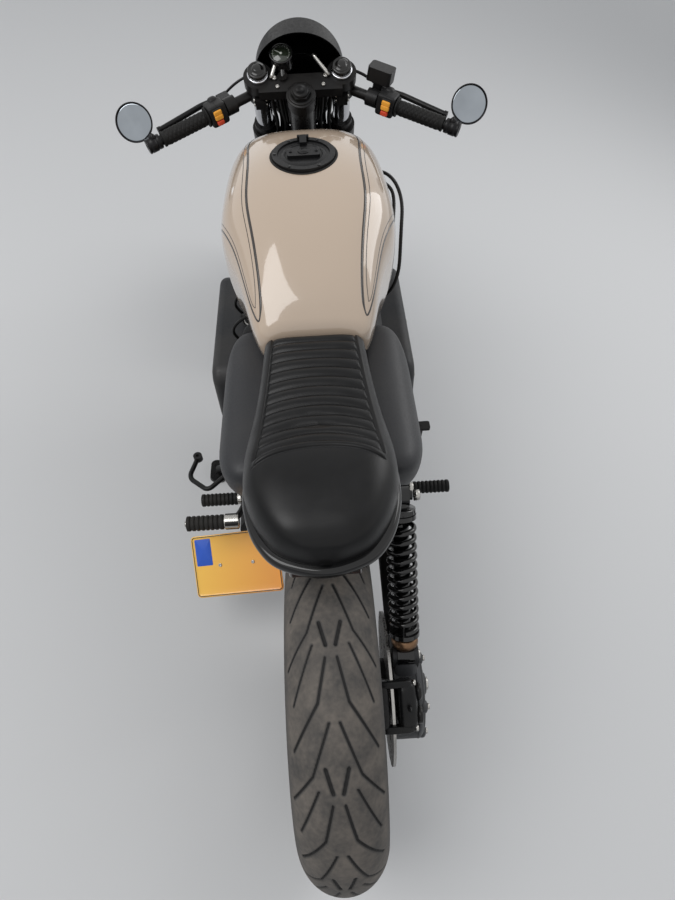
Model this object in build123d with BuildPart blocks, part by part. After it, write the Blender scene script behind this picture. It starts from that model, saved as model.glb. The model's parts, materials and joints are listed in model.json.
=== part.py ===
from build123d import *
import math
import os

os.makedirs("parts", exist_ok=True)

# A cafe racer motorcycle, parked on its side stand. Millimetres.
# It is drawn upright, with +X to the rider's right, +Y forwards and +Z up. The zero point is where
# the upright rear tyre meets the ground. The function parked leans each finished piece to the left.

# Wheels and stance
WHEELBASE = 1516.0
REAR_TYRE_RADIUS = 333.0
REAR_TYRE_WIDTH = 150.0
REAR_CROWN_RADIUS = 78.0
FRONT_TYRE_RADIUS = 318.0
FRONT_TYRE_WIDTH = 105.0
FRONT_CROWN_RADIUS = 63.0
REAR_BEAD_RADIUS = 218.0
FRONT_BEAD_RADIUS = 229.0
REAR_RIM_WIDTH = 106.0
FRONT_RIM_WIDTH = 72.0
LEAN = 14.0
RAKE = 27.5
FORK_OFFSET = 57.2
FIT = 0.3

# Fork
FORK_SPACING = 190.0
STANCHION_RADIUS = 20.7
SLIDER_RADIUS = 27.0
SLIDER_TOP = 330.0
FORK_TOP = 757.0
BOTTOM_YOKE = 545.0
BOTTOM_YOKE_DEPTH = 34.0
TOP_YOKE = 725.0
TOP_YOKE_DEPTH = 24.0
HEAD_RADIUS = 30.0
STEM_RADIUS = 16.0
FRONT_AXLE_RADIUS = 10.0
FRONT_AXLE_BORE = 7.0
FRONT_AXLE_LENGTH = 250.0

# Handlebars
CLIP_ON_HEIGHT = 690.0
CLIP_ON_DEPTH = 28.0
BAR_RADIUS = 11.0
BAR_LENGTH = 262.0
BAR_SWEEP = 26.0
BAR_DROP = 12.0
GRIP_RADIUS = 16.5
GRIP_LENGTH = 118.0
MIRROR_RADIUS = 42.0

# Seat and tail
RAIL_HEIGHT = 735.0
RAIL_RADIUS = 13.0
TRAY_BOTTOM = RAIL_HEIGHT + RAIL_RADIUS + FIT
TRAY_THICKNESS = 22.0
SEAT_THICKNESS = 46.0
SEAT_FRONT = 500.0
HUMP_FRONT = 226.0
HUMP_HEIGHT = 78.0

# Engine
ENGINE_REAR = 650.0
ENGINE_FRONT = 1085.0
ENGINE_BOTTOM = 330.0
ENGINE_TOP = 560.0
BLOCK_LEFT = 120.0
BLOCK_RIGHT = 165.0
HEAD_WIDTH = 75.0
COVER_WIDTH = 58.0
CRANK_COVER_WIDTH = 66.0
SUMP_DEPTH = 84.0
SWINGARM_PIVOT_Y = 430.0
SWINGARM_PIVOT_Z = 372.0
DRIVE_PLANE = 138.0
DISC_PLANE = 97.0
DISC_THICKNESS = 5.0
REAR_DISC_RADIUS = 142.0
FRONT_DISC_RADIUS = 142.5

# Working values
FORK_X = FORK_SPACING / 2
REAR_AXLE = Vector(0, 0, REAR_TYRE_RADIUS)
FRONT_AXLE = Vector(0, WHEELBASE, FRONT_TYRE_RADIUS)
rake_angle = math.radians(RAKE)
STEER_AXIS = Vector(0, -math.sin(rake_angle), math.cos(rake_angle))
STEER_NORMAL = Vector(0, math.cos(rake_angle), math.sin(rake_angle))
STEER_BASE = FRONT_AXLE - STEER_NORMAL * FORK_OFFSET

lean_angle = math.radians(LEAN)
rear_rise = REAR_CROWN_RADIUS * (1 - math.cos(lean_angle))
front_rise = FRONT_CROWN_RADIUS * (1 - math.cos(lean_angle))
pitch_angle = math.atan2(front_rise - rear_rise, WHEELBASE)

# The row's zero point is on the ground, half-way along the machine and half-way across it
ORIGIN_X = 213.5
ORIGIN_Y = -(WHEELBASE + FRONT_TYRE_RADIUS - REAR_TYRE_RADIUS) / 2
PARKED = Location((ORIGIN_X, ORIGIN_Y, rear_rise)) * Location((0, 0, 0), (math.degrees(pitch_angle), -LEAN, 0))


def parked(piece):
    """The finished piece, leaned with the machine onto its side stand, with its label kept."""
    moved = piece.moved(PARKED)
    moved.label = piece.label
    return moved


def steer_plane(height, forward=0.0, side=0.0):
    """A plane across the steering axis: its x is the machine's right and its y points forwards."""
    origin = STEER_BASE + STEER_AXIS * height + STEER_NORMAL * forward + Vector(side, 0, 0)
    return Plane(origin=origin, x_dir=(1, 0, 0), z_dir=STEER_AXIS)


def side_plane(x, origin=Vector(0, 0, 0)):
    """A plane seen from the right: its x is forwards, its y is up, its normal points right."""
    return Plane(origin=(x, origin.Y, origin.Z), x_dir=(0, 1, 0), z_dir=(1, 0, 0))


def start_plane(path):
    """The plane across the start of a path."""
    return Plane(origin=path @ 0, z_dir=path % 0)


def tube_points(points, side):
    """The points of a tube's centre line, on the side given as 1 or -1."""
    return [(side * x, y, z) for x, y, z in points]


# Tyres
# Columns: name, axle, tyre radius, width, crown radius, bead radius, rim width
tyre_table = [
    ("rear_tyre", REAR_AXLE, REAR_TYRE_RADIUS, REAR_TYRE_WIDTH, REAR_CROWN_RADIUS,
     REAR_BEAD_RADIUS, REAR_RIM_WIDTH),
    ("front_tyre", FRONT_AXLE, FRONT_TYRE_RADIUS, FRONT_TYRE_WIDTH, FRONT_CROWN_RADIUS,
     FRONT_BEAD_RADIUS, FRONT_RIM_WIDTH),
]
FLANGE_HEIGHT = 14.0
FLANGE_WALL = 5.0
for name, axle, radius, width, crown, bead, rim_width in tyre_table:
    half = width / 2
    bead_half = rim_width / 2 - FLANGE_WALL - FIT
    shoulder = radius - crown + math.sqrt(crown**2 - half**2)
    with BuildPart() as tyre:
        with BuildSketch(Plane(origin=axle, x_dir=(1, 0, 0), z_dir=(0, -1, 0))):
            with BuildLine():
                ThreePointArc((-half, shoulder), (0, radius), (half, shoulder))
                Line((half, shoulder), (bead_half, bead + FLANGE_HEIGHT + 6))
                Line((bead_half, bead + FLANGE_HEIGHT + 6), (bead_half, bead + FIT))
                Line((bead_half, bead + FIT), (-bead_half, bead + FIT))
                Line((-bead_half, bead + FIT), (-bead_half, bead + FLANGE_HEIGHT + 6))
                Line((-bead_half, bead + FLANGE_HEIGHT + 6), (-half, shoulder))
            make_face()
        revolve(axis=Axis(axle, (1, 0, 0)))
    tyre.part.label = name
    export_step(parked(tyre.part), f"parts/{name}.step")

# Cast wheels: a rim, a hub and five forked spokes
SPOKES = 5
REAR_AXLE_RADIUS = 22.0
FRONT_HUB_HALF = 52.0
RIM_DEPTH = 18.0
RIM_LIP = 4.0
SPOKE_THICKNESS = 26.0
SPOKE_WIDTH = 30.0
SPOKE_ARM_WIDTH = 20.0
SPOKE_SPREAD = 15.0
REAR_HUB_RADIUS = 52.0
REAR_HUB_LEFT = -48.0
FRONT_HUB_RADIUS = 36.0
# Columns: name, axle, bead radius, rim width, hub radius, hub left, hub right, bore radius
wheel_table = [
    ("rear_wheel", REAR_AXLE, REAR_BEAD_RADIUS, REAR_RIM_WIDTH, REAR_HUB_RADIUS, REAR_HUB_LEFT,
     DISC_PLANE - FIT, REAR_AXLE_RADIUS + FIT),
    ("front_wheel", FRONT_AXLE, FRONT_BEAD_RADIUS, FRONT_RIM_WIDTH, FRONT_HUB_RADIUS,
     -FRONT_HUB_HALF, FRONT_HUB_HALF, FRONT_AXLE_RADIUS + FIT),
]
for name, axle, bead, rim_width, hub_radius, hub_left, hub_right, bore in wheel_table:
    half = rim_width / 2
    inner = bead - RIM_DEPTH
    fork_radius = (hub_radius + inner) / 2
    with BuildPart() as wheel:
        with BuildSketch(Plane(origin=axle, x_dir=(1, 0, 0), z_dir=(0, -1, 0))):
            with BuildLine():
                Polyline(
                    (-half, bead + FLANGE_HEIGHT),
                    (-half + FLANGE_WALL, bead + FLANGE_HEIGHT),
                    (-half + FLANGE_WALL, bead),
                    (half - FLANGE_WALL, bead),
                    (half - FLANGE_WALL, bead + FLANGE_HEIGHT),
                    (half, bead + FLANGE_HEIGHT),
                    (half, bead - RIM_LIP),
                    (half - RIM_DEPTH, inner),
                    (-half + RIM_DEPTH, inner),
                    (-half, bead - RIM_LIP),
                    close=True,
                )
            make_face()
        revolve(axis=Axis(axle, (1, 0, 0)))
        with BuildSketch(side_plane(hub_left, axle)):
            Circle(hub_radius)
        extrude(amount=hub_right - hub_left)
        with BuildSketch(side_plane(-SPOKE_THICKNESS / 2, axle)):
            for k in range(SPOKES):
                turn = 360 / SPOKES * k + 90
                arm = math.radians(turn)
                fork = (fork_radius * math.cos(arm), fork_radius * math.sin(arm))
                with Locations(((fork_radius / 2) * math.cos(arm), (fork_radius / 2) * math.sin(arm))):
                    Rectangle(fork_radius, SPOKE_WIDTH, rotation=turn)
                for spread in (-SPOKE_SPREAD, SPOKE_SPREAD):
                    tip_angle = math.radians(turn + spread)
                    tip = ((inner + RIM_LIP) * math.cos(tip_angle), (inner + RIM_LIP) * math.sin(tip_angle))
                    middle = ((fork[0] + tip[0]) / 2, (fork[1] + tip[1]) / 2)
                    SlotCenterPoint(middle, tip, SPOKE_ARM_WIDTH)
        extrude(amount=SPOKE_THICKNESS)
        with BuildSketch(side_plane(hub_left - 1, axle)):
            Circle(bore)
        extrude(amount=hub_right - hub_left + 2, mode=Mode.SUBTRACT)
    wheel.part.label = name
    export_step(parked(wheel.part), f"parts/{name}.step")

# Brake discs: the rear one beside the final drive, the front pair inside the fork
DISC_BAND = 34.0
FRONT_DISC_X = FRONT_HUB_HALF + FIT
with BuildPart() as rear_disc:
    with BuildSketch(side_plane(DISC_PLANE, REAR_AXLE)):
        Circle(REAR_DISC_RADIUS)
        Circle(REAR_AXLE_RADIUS + FIT, mode=Mode.SUBTRACT)
        with PolarLocations(REAR_DISC_RADIUS - DISC_BAND - 22, 6):
            Circle(14, mode=Mode.SUBTRACT)
    extrude(amount=DISC_THICKNESS)
rear_disc.part.label = "rear_brake_disc"
export_step(parked(rear_disc.part), "parts/rear_brake_disc.step")

with BuildPart() as front_discs:
    for x in (FRONT_DISC_X, -FRONT_DISC_X - DISC_THICKNESS):
        with BuildSketch(side_plane(x, FRONT_AXLE)):
            Circle(FRONT_DISC_RADIUS)
            Circle(FRONT_AXLE_RADIUS + FIT, mode=Mode.SUBTRACT)
            with PolarLocations(FRONT_DISC_RADIUS - DISC_BAND - 24, 6):
                Circle(16, mode=Mode.SUBTRACT)
        extrude(amount=DISC_THICKNESS)
front_discs.part.label = "front_brake_discs"
export_step(parked(front_discs.part), "parts/front_brake_discs.step")

# Front axle: a hollow bar through the hub and both slider feet
with BuildPart() as front_axle:
    with BuildSketch(side_plane(-FRONT_AXLE_LENGTH / 2, FRONT_AXLE)):
        Circle(FRONT_AXLE_RADIUS)
        Circle(FRONT_AXLE_BORE, mode=Mode.SUBTRACT)
    extrude(amount=FRONT_AXLE_LENGTH)
front_axle.part.label = "front_axle"
export_step(parked(front_axle.part), "parts/front_axle.step")

# Fork sliders, each with a foot round the axle and a lug for its caliper
CALIPER_ANGLE = 165.0
CALIPER_LENGTH = 92.0
CALIPER_DEPTH = 56.0
DISC_GAP = 1.5
caliper_radius = FRONT_DISC_RADIUS - DISC_BAND / 2
caliper_at = math.radians(CALIPER_ANGLE)
caliper_y = caliper_radius * math.cos(caliper_at)
caliper_z = caliper_radius * math.sin(caliper_at)
LUG_HALF = 9.0
with BuildPart() as sliders:
    for side in (-1, 1):
        with BuildSketch(steer_plane(0, FORK_OFFSET, side * FORK_X)):
            Circle(SLIDER_RADIUS)
        extrude(amount=SLIDER_TOP)
        with BuildSketch(side_plane(side * FORK_X - SLIDER_RADIUS, FRONT_AXLE)):
            Circle(SLIDER_RADIUS)
        extrude(amount=2 * SLIDER_RADIUS)
        with BuildSketch(side_plane(side * FORK_X - SLIDER_RADIUS - 1, FRONT_AXLE)):
            Circle(FRONT_AXLE_RADIUS + FIT)
        extrude(amount=2 * SLIDER_RADIUS + 2, mode=Mode.SUBTRACT)
        with BuildSketch(side_plane(side * FORK_X - LUG_HALF, FRONT_AXLE)):
            with BuildLine():
                Polyline((-10, 84), (-130, 62), (-130, 2), (-10, 20), close=True)
            make_face()
        extrude(amount=2 * LUG_HALF)
        with BuildSketch(side_plane(side * FORK_X - SLIDER_RADIUS, FRONT_AXLE)):
            with Locations((caliper_y, caliper_z)):
                RectangleRounded(CALIPER_DEPTH + 2 * FIT, CALIPER_LENGTH + 2 * FIT, 12,
                                 rotation=CALIPER_ANGLE - 180)
            with Locations((-130, 50)):
                Rectangle(60, 120)
        extrude(amount=2 * SLIDER_RADIUS, mode=Mode.SUBTRACT)
        with BuildSketch(steer_plane(SLIDER_TOP - 120, FORK_OFFSET, side * FORK_X)):
            Circle(STANCHION_RADIUS + FIT)
        extrude(amount=121, mode=Mode.SUBTRACT)
sliders.part.label = "fork_sliders"
export_step(parked(sliders.part), "parts/fork_sliders.step")

# Fork tubes with their top caps
CAP_RADIUS = 17.0
with BuildPart() as fork_tubes:
    for side in (-1, 1):
        with BuildSketch(steer_plane(SLIDER_TOP - 119, FORK_OFFSET, side * FORK_X)):
            Circle(STANCHION_RADIUS)
        extrude(amount=FORK_TOP - SLIDER_TOP + 119)
        with BuildSketch(steer_plane(FORK_TOP, FORK_OFFSET, side * FORK_X)):
            Circle(CAP_RADIUS)
        extrude(amount=8)
        with BuildSketch(steer_plane(FORK_TOP + 8, FORK_OFFSET, side * FORK_X)):
            RegularPolygon(10, 6)
        extrude(amount=8)
fork_tubes.part.label = "fork_tubes"
export_step(parked(fork_tubes.part), "parts/fork_tubes.step")

# Yokes: the bottom one carries the stem, the top one sits below the stem's nut, and two clamps above
# the bottom yoke hold the headlamp
YOKE_WALL = 13.0
LAMP_CLAMP_DEPTH = 22.0
LAMP_CLAMP_WALL = 6.0
LAMP_RADIUS = 76.0
with BuildPart() as yokes:
    for height, depth in ((BOTTOM_YOKE, BOTTOM_YOKE_DEPTH), (TOP_YOKE, TOP_YOKE_DEPTH)):
        with BuildSketch(steer_plane(height)):
            Circle(HEAD_RADIUS + 2)
            with Locations((0, FORK_OFFSET * 0.62)):
                Rectangle(FORK_SPACING, 44)
            with Locations((-FORK_X, FORK_OFFSET), (FORK_X, FORK_OFFSET)):
                Circle(STANCHION_RADIUS + YOKE_WALL)
                Circle(STANCHION_RADIUS + FIT, mode=Mode.SUBTRACT)
            if height == TOP_YOKE:
                Circle(STEM_RADIUS + FIT, mode=Mode.SUBTRACT)
        extrude(amount=depth)
    with BuildSketch(steer_plane(BOTTOM_YOKE)):
        Circle(STEM_RADIUS)
    extrude(amount=TOP_YOKE + TOP_YOKE_DEPTH + 6 - BOTTOM_YOKE)
    with BuildSketch(steer_plane(TOP_YOKE + TOP_YOKE_DEPTH + FIT)):
        RegularPolygon(23, 6)
    extrude(amount=14)
    for side in (-1, 1):
        clamp_plane = steer_plane(BOTTOM_YOKE + BOTTOM_YOKE_DEPTH + FIT, FORK_OFFSET, side * FORK_X)
        with BuildSketch(clamp_plane):
            Circle(STANCHION_RADIUS + 6)
            arm_x = side * (LAMP_RADIUS + FIT + LAMP_CLAMP_WALL / 2 - FORK_X)
            with Locations((arm_x, STANCHION_RADIUS + 26)):
                Rectangle(LAMP_CLAMP_WALL, 60)
            Circle(STANCHION_RADIUS + FIT, mode=Mode.SUBTRACT)
        extrude(amount=LAMP_CLAMP_DEPTH)
yokes.part.label = "fork_yokes"
export_step(parked(yokes.part), "parts/fork_yokes.step")


def bar_start(side):
    """Where the bar's centre line meets the clip-on clamp."""
    plane = steer_plane(CLIP_ON_HEIGHT + CLIP_ON_DEPTH / 2, FORK_OFFSET, side * FORK_X)
    return plane.origin


def bar_direction(side):
    """The bar's direction, out from the machine, swept back and dropped."""
    sweep = math.radians(BAR_SWEEP)
    drop = math.radians(BAR_DROP)
    return Vector(side * math.cos(sweep), -math.sin(sweep), -math.tan(drop) * math.cos(sweep)).normalized()


def bar_plane(side, distance):
    """A plane across the bar, with its normal out along the bar and its y near to upright."""
    normal = bar_direction(side)
    across = Vector(0, 0, 1).cross(normal).normalized()
    return Plane(origin=bar_start(side) + normal * distance, x_dir=across, z_dir=normal)


# Clip-on bars: a clamp round the fork tube, with its bar
with BuildPart() as clip_ons:
    for side in (-1, 1):
        with BuildSketch(steer_plane(CLIP_ON_HEIGHT, FORK_OFFSET, side * FORK_X)):
            Circle(STANCHION_RADIUS + 9)
            with Locations((0, -STANCHION_RADIUS - 9)):
                Rectangle(24, 20)
        extrude(amount=CLIP_ON_DEPTH)
        with BuildSketch(bar_plane(side, 0)):
            Circle(BAR_RADIUS)
        extrude(amount=BAR_LENGTH)
        with BuildSketch(steer_plane(CLIP_ON_HEIGHT - 20, FORK_OFFSET, side * FORK_X)):
            Circle(STANCHION_RADIUS + FIT)
        extrude(amount=CLIP_ON_DEPTH + 40, mode=Mode.SUBTRACT)
clip_ons.part.label = "clip_on_bars"
export_step(parked(clip_ons.part), "parts/clip_on_bars.step")

# Grips, bar-end weights, switch boxes, lever perches, levers and mirrors, one set each side
GRIP_START = BAR_LENGTH - GRIP_LENGTH - 4
SWITCH_LENGTH = 44.0
SWITCH_START = GRIP_START - SWITCH_LENGTH - 1
PERCH_LENGTH = 26.0
PERCH_START = SWITCH_START - PERCH_LENGTH - 2
with BuildPart() as grips:
    for side in (-1, 1):
        with BuildSketch(bar_plane(side, GRIP_START)):
            Circle(GRIP_RADIUS)
            Circle(BAR_RADIUS + FIT, mode=Mode.SUBTRACT)
        extrude(amount=GRIP_LENGTH)
        with BuildSketch(bar_plane(side, GRIP_START)):
            Circle(GRIP_RADIUS + 5)
            Circle(BAR_RADIUS + FIT, mode=Mode.SUBTRACT)
        extrude(amount=5)
grips.part.label = "grips"
export_step(parked(grips.part), "parts/grips.step")

with BuildPart() as switches:
    for side in (-1, 1):
        with BuildSketch(bar_plane(side, SWITCH_START)):
            RectangleRounded(40, 46, 9)
            Circle(BAR_RADIUS + FIT, mode=Mode.SUBTRACT)
        extrude(amount=SWITCH_LENGTH)
switches.part.label = "switch_boxes"
export_step(parked(switches.part), "parts/switch_boxes.step")

MIRROR_ARM = 62.0
END_LENGTH = 34.0
with BuildPart() as mirrors:
    for side in (-1, 1):
        end = bar_plane(side, BAR_LENGTH + FIT)
        with BuildSketch(end):
            Circle(GRIP_RADIUS + 1)
        extrude(amount=END_LENGTH)
        stem_start = end.origin + end.z_dir * (END_LENGTH / 2)
        centre = stem_start + Vector(side * 44, 34, 26)
        with BuildLine() as stem:
            Line(stem_start, centre)
        with BuildSketch(start_plane(stem.line)):
            Circle(5)
        sweep(path=stem.line)
        with BuildSketch(Plane(origin=centre, x_dir=(1, 0, 0), z_dir=(0, -0.9, 0.436))):
            Circle(MIRROR_RADIUS)
        extrude(amount=-12)
mirrors.part.label = "bar_end_mirrors"
export_step(parked(mirrors.part), "parts/bar_end_mirrors.step")

LEVER_REACH = 52.0
PERCH_HEIGHT = 20.0
with BuildPart() as levers:
    for side in (-1, 1):
        with BuildSketch(bar_plane(side, PERCH_START)):
            Circle(BAR_RADIUS + 8)
            with Locations((side * LEVER_REACH / 2, 0)):
                Rectangle(LEVER_REACH, PERCH_HEIGHT)
            Circle(BAR_RADIUS + FIT, mode=Mode.SUBTRACT)
        extrude(amount=PERCH_LENGTH)
        pivot = bar_plane(side, PERCH_START + PERCH_LENGTH / 2)
        base = pivot.origin + pivot.x_dir * (side * LEVER_REACH)
        tip = base + pivot.z_dir * 165 - pivot.x_dir * (side * 8)
        knee = base + pivot.z_dir * 55 + pivot.x_dir * (side * 6)
        with BuildLine() as blade:
            FilletPolyline(base, knee, tip, radius=60)
        with BuildSketch(start_plane(blade.line)):
            Circle(6.5)
        sweep(path=blade.line)
        with BuildSketch(Plane(origin=tip, z_dir=pivot.z_dir)):
            Circle(8)
        extrude(amount=8)
    # The brake's master cylinder with its square reservoir sits on the right perch
    mount = bar_plane(1, PERCH_START + PERCH_LENGTH / 2)
    seat_point = mount.origin + mount.x_dir * (LEVER_REACH - 19) + mount.y_dir * (PERCH_HEIGHT / 2 + FIT)
    body_plane = Plane(origin=seat_point, x_dir=mount.z_dir, z_dir=mount.y_dir)
    with BuildSketch(body_plane):
        RectangleRounded(24, 30, 6)
    extrude(amount=16)
    with BuildSketch(body_plane.offset(16)):
        RectangleRounded(58, 40, 7)
    extrude(amount=30)
levers.part.label = "hand_controls"
export_step(parked(levers.part), "parts/hand_controls.step")

# Front calipers, behind the sliders, each straddling its disc
with BuildPart() as calipers:
    for side in (-1, 1):
        inner_x = FRONT_DISC_X - 13
        outer_x = FORK_X + 4
        first_x = inner_x if side > 0 else -outer_x
        with BuildSketch(side_plane(first_x, FRONT_AXLE)):
            with Locations((caliper_y, caliper_z)):
                RectangleRounded(CALIPER_DEPTH, CALIPER_LENGTH, 12, rotation=CALIPER_ANGLE - 180)
        extrude(amount=outer_x - inner_x)
        slot_x = FRONT_DISC_X - DISC_GAP if side > 0 else -FRONT_DISC_X - DISC_THICKNESS - DISC_GAP
        with BuildSketch(side_plane(slot_x, FRONT_AXLE)):
            Circle(FRONT_DISC_RADIUS + DISC_GAP)
        extrude(amount=DISC_THICKNESS + 2 * DISC_GAP, mode=Mode.SUBTRACT)
        with BuildSketch(steer_plane(-40, FORK_OFFSET, side * FORK_X)):
            Circle(SLIDER_RADIUS + FIT)
        extrude(amount=SLIDER_TOP, mode=Mode.SUBTRACT)
calipers.part.label = "front_calipers"
export_step(parked(calipers.part), "parts/front_calipers.step")

# Front mudguard: a short curved blade carried by stays on the sliders
GUARD_GAP = 14.0
GUARD_WALL = 3.0
GUARD_HALF = 60.0
GUARD_TAB = 42.0
guard_radius = FRONT_TYRE_RADIUS + GUARD_GAP
guard_crown = FRONT_CROWN_RADIUS + GUARD_GAP
guard_shoulder = guard_radius - guard_crown + math.sqrt(guard_crown**2 - GUARD_HALF**2)
with BuildPart() as mudguard:
    with BuildSketch(Plane(origin=FRONT_AXLE, x_dir=(1, 0, 0), z_dir=(0, -1, 0))):
        with BuildLine():
            ThreePointArc((-GUARD_HALF, guard_shoulder), (0, guard_radius), (GUARD_HALF, guard_shoulder))
            Line((GUARD_HALF, guard_shoulder), (GUARD_HALF, guard_shoulder + GUARD_WALL))
            ThreePointArc(
                (GUARD_HALF, guard_shoulder + GUARD_WALL),
                (0, guard_radius + GUARD_WALL),
                (-GUARD_HALF, guard_shoulder + GUARD_WALL),
            )
            Line((-GUARD_HALF, guard_shoulder + GUARD_WALL), (-GUARD_HALF, guard_shoulder))
        make_face()
    revolve(axis=Axis(FRONT_AXLE, (-1, 0, 0)), revolution_arc=80)
    mudguard.part = mudguard.part.rotate(Axis(FRONT_AXLE, (-1, 0, 0)), -62)
    for side in (-1, 1):
        with BuildSketch(steer_plane(SLIDER_TOP - 62, FORK_OFFSET - 12, side * GUARD_HALF)):
            Rectangle(14, 30)
        extrude(amount=GUARD_TAB)
    for side in (-1, 1):
        with BuildSketch(steer_plane(-40, FORK_OFFSET, side * FORK_X)):
            Circle(SLIDER_RADIUS + FIT)
        extrude(amount=SLIDER_TOP + 60, mode=Mode.SUBTRACT)
mudguard.part.label = "front_mudguard"
export_step(parked(mudguard.part), "parts/front_mudguard.step")

# Flyscreen: a round bowl over the lamp, cut off along the fork, open to the rider and round the lamp
LAMP_FORWARD = 86.4
LAMP_LIFT = 13.0
LAMP_LENGTH = 96.0
LAMP_RING = 62.0
LAMP_NECK = 34.0
BOWL_RADIUS = 104.0
BOWL_WALL = 3.0
BOWL_RISE = 70.0
BOWL_SETBACK = 62.0
BOWL_DEPTH = 70.0
BOWL_SKIRT = 112.0
clamp_middle = BOTTOM_YOKE + BOTTOM_YOKE_DEPTH + FIT + LAMP_CLAMP_DEPTH / 2
lamp_centre = steer_plane(clamp_middle + LAMP_LIFT, FORK_OFFSET + LAMP_FORWARD).origin
lamp_face = lamp_centre.Y + LAMP_RING / 2
bowl_height = lamp_centre.Z + BOWL_RISE
bowl_side = lamp_centre.Y - BOWL_SETBACK
bowl_start = bowl_side - BOWL_SKIRT
bowl_nose = bowl_side + BOWL_DEPTH
bowl_inner = BOWL_RADIUS - BOWL_WALL
with BuildPart() as flyscreen:
    with BuildSketch(Plane(origin=(0, 0, bowl_height), x_dir=(0, 1, 0), z_dir=(1, 0, 0))):
        with BuildLine():
            Line((bowl_start, BOWL_RADIUS), (bowl_side, BOWL_RADIUS))
            RadiusArc((bowl_side, BOWL_RADIUS), (bowl_nose, 0), BOWL_RADIUS)
            Line((bowl_nose, 0), (bowl_nose - BOWL_WALL, 0))
            RadiusArc((bowl_nose - BOWL_WALL, 0), (bowl_side, bowl_inner), -bowl_inner)
            Line((bowl_side, bowl_inner), (bowl_start, bowl_inner))
            Line((bowl_start, bowl_inner), (bowl_start, BOWL_RADIUS))
        make_face()
    revolve(axis=Axis((0, 0, bowl_height), (0, 1, 0)))
    rim_cut = steer_plane(clamp_middle, FORK_OFFSET + STANCHION_RADIUS + YOKE_WALL + FIT)
    with BuildSketch(rim_cut):
        Rectangle(4 * BOWL_RADIUS, 4 * BOWL_RADIUS, align=(Align.CENTER, Align.MAX))
    extrude(amount=4 * BOWL_RADIUS, both=True, mode=Mode.SUBTRACT)
    with BuildSketch(Plane.XZ.offset(-bowl_start)):
        with Locations((0, lamp_centre.Z)):
            Circle(LAMP_RADIUS + FIT)
            Rectangle(4 * BOWL_RADIUS, 2 * BOWL_RADIUS, align=(Align.CENTER, Align.MAX))
    extrude(amount=-3 * BOWL_RADIUS, mode=Mode.SUBTRACT)
flyscreen.part.label = "flyscreen"
export_step(parked(flyscreen.part), "parts/flyscreen.step")

# Headlamp: a round shell with its glass, between the two clamps
with BuildPart() as headlamp:
    with BuildSketch(Plane.XZ.offset(-lamp_face)):
        with Locations((0, lamp_centre.Z)):
            Circle(LAMP_RADIUS)
    extrude(amount=LAMP_RING)
    with BuildSketch(Plane.XZ.offset(-lamp_face + LAMP_RING)):
        with Locations((0, lamp_centre.Z)):
            Circle(LAMP_RADIUS)
    with BuildSketch(Plane.XZ.offset(-lamp_face + LAMP_LENGTH)):
        with Locations((0, lamp_centre.Z)):
            Circle(LAMP_RADIUS - LAMP_NECK)
    loft()
headlamp.part.label = "headlamp"
export_step(parked(headlamp.part), "parts/headlamp.step")

# Round gauge on a stalk from the top yoke
GAUGE_RADIUS = 25.0
GAUGE_DEPTH = 30.0
GAUGE_FOOT_X = -39.0
GAUGE_FOOT_BACK = 8.0
GAUGE_FOOT_RADIUS = 11.0
GAUGE_FOOT_DEPTH = 6.0
GAUGE_STALK = 6.0
GAUGE_REACH = 35.0
GAUGE_LIFT = 30.3
GAUGE_TILT = 30.0
gauge_tilt = math.radians(GAUGE_TILT)
gauge_normal = Vector(0, -math.sin(gauge_tilt), math.cos(gauge_tilt))
gauge_foot_plane = steer_plane(TOP_YOKE + TOP_YOKE_DEPTH + FIT, FORK_OFFSET - GAUGE_FOOT_BACK, GAUGE_FOOT_X)
gauge_centre = gauge_foot_plane.origin + STEER_NORMAL * GAUGE_REACH + STEER_AXIS * GAUGE_LIFT
with BuildPart() as gauge:
    with BuildSketch(Plane(origin=gauge_centre, x_dir=(1, 0, 0), z_dir=gauge_normal)):
        Circle(GAUGE_RADIUS)
    extrude(amount=-GAUGE_DEPTH)
    with BuildLine() as stalk:
        Line(gauge_foot_plane.origin, gauge_centre - gauge_normal * (GAUGE_DEPTH / 2))
    with BuildSketch(start_plane(stalk.line)):
        Circle(GAUGE_STALK)
    sweep(path=stalk.line)
    with BuildSketch(gauge_foot_plane):
        Circle(GAUGE_FOOT_RADIUS)
    extrude(amount=GAUGE_FOOT_DEPTH)
    with BuildSketch(gauge_foot_plane):
        Circle(3 * GAUGE_FOOT_RADIUS)
    extrude(amount=-GAUGE_DEPTH, mode=Mode.SUBTRACT)
gauge.part.label = "gauge"
export_step(parked(gauge.part), "parts/gauge.step")

# Frame: steering head, top rails that run back as seat rails and a tail loop, down tubes,
# struts, and the feet that stand on the engine and gearbox
HEAD_BOTTOM = BOTTOM_YOKE + BOTTOM_YOKE_DEPTH + FIT
HEAD_TOP = TOP_YOKE - FIT
RAIL_X = 78.0
TAIL_END = 72.0
TUBE_RADIUS = 15.0
GEARBOX_WIDTH = 196.0
GEARBOX_HEIGHT = 210.0
GEARBOX_RISE = 85.0
gearbox_middle = ENGINE_BOTTOM + GEARBOX_RISE
GEARBOX_TOP = gearbox_middle + GEARBOX_HEIGHT / 2
FOOT_DEPTH = 16.0
FOOT_SINK = 4.0
TANK_RAIL_X = 62.0
REAR_FOOT_X = 72.0
REAR_FOOT_Y = 490.0
ENGINE_FOOT_X = 80.0
ENGINE_FOOT_Y = ENGINE_REAR + 18
DOWN_BOTTOM_X = 85.0
DOWN_BOTTOM_Y = ENGINE_FRONT - 23
head_low = steer_plane(HEAD_BOTTOM, -6).origin
head_high = steer_plane(HEAD_BOTTOM + 22).origin
DOWN_TOP = (26, head_low.Y - 17, head_low.Z - 5)
DOWN_BOTTOM = (DOWN_BOTTOM_X, DOWN_BOTTOM_Y, ENGINE_TOP + FOOT_DEPTH - FOOT_SINK / 4)
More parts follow.
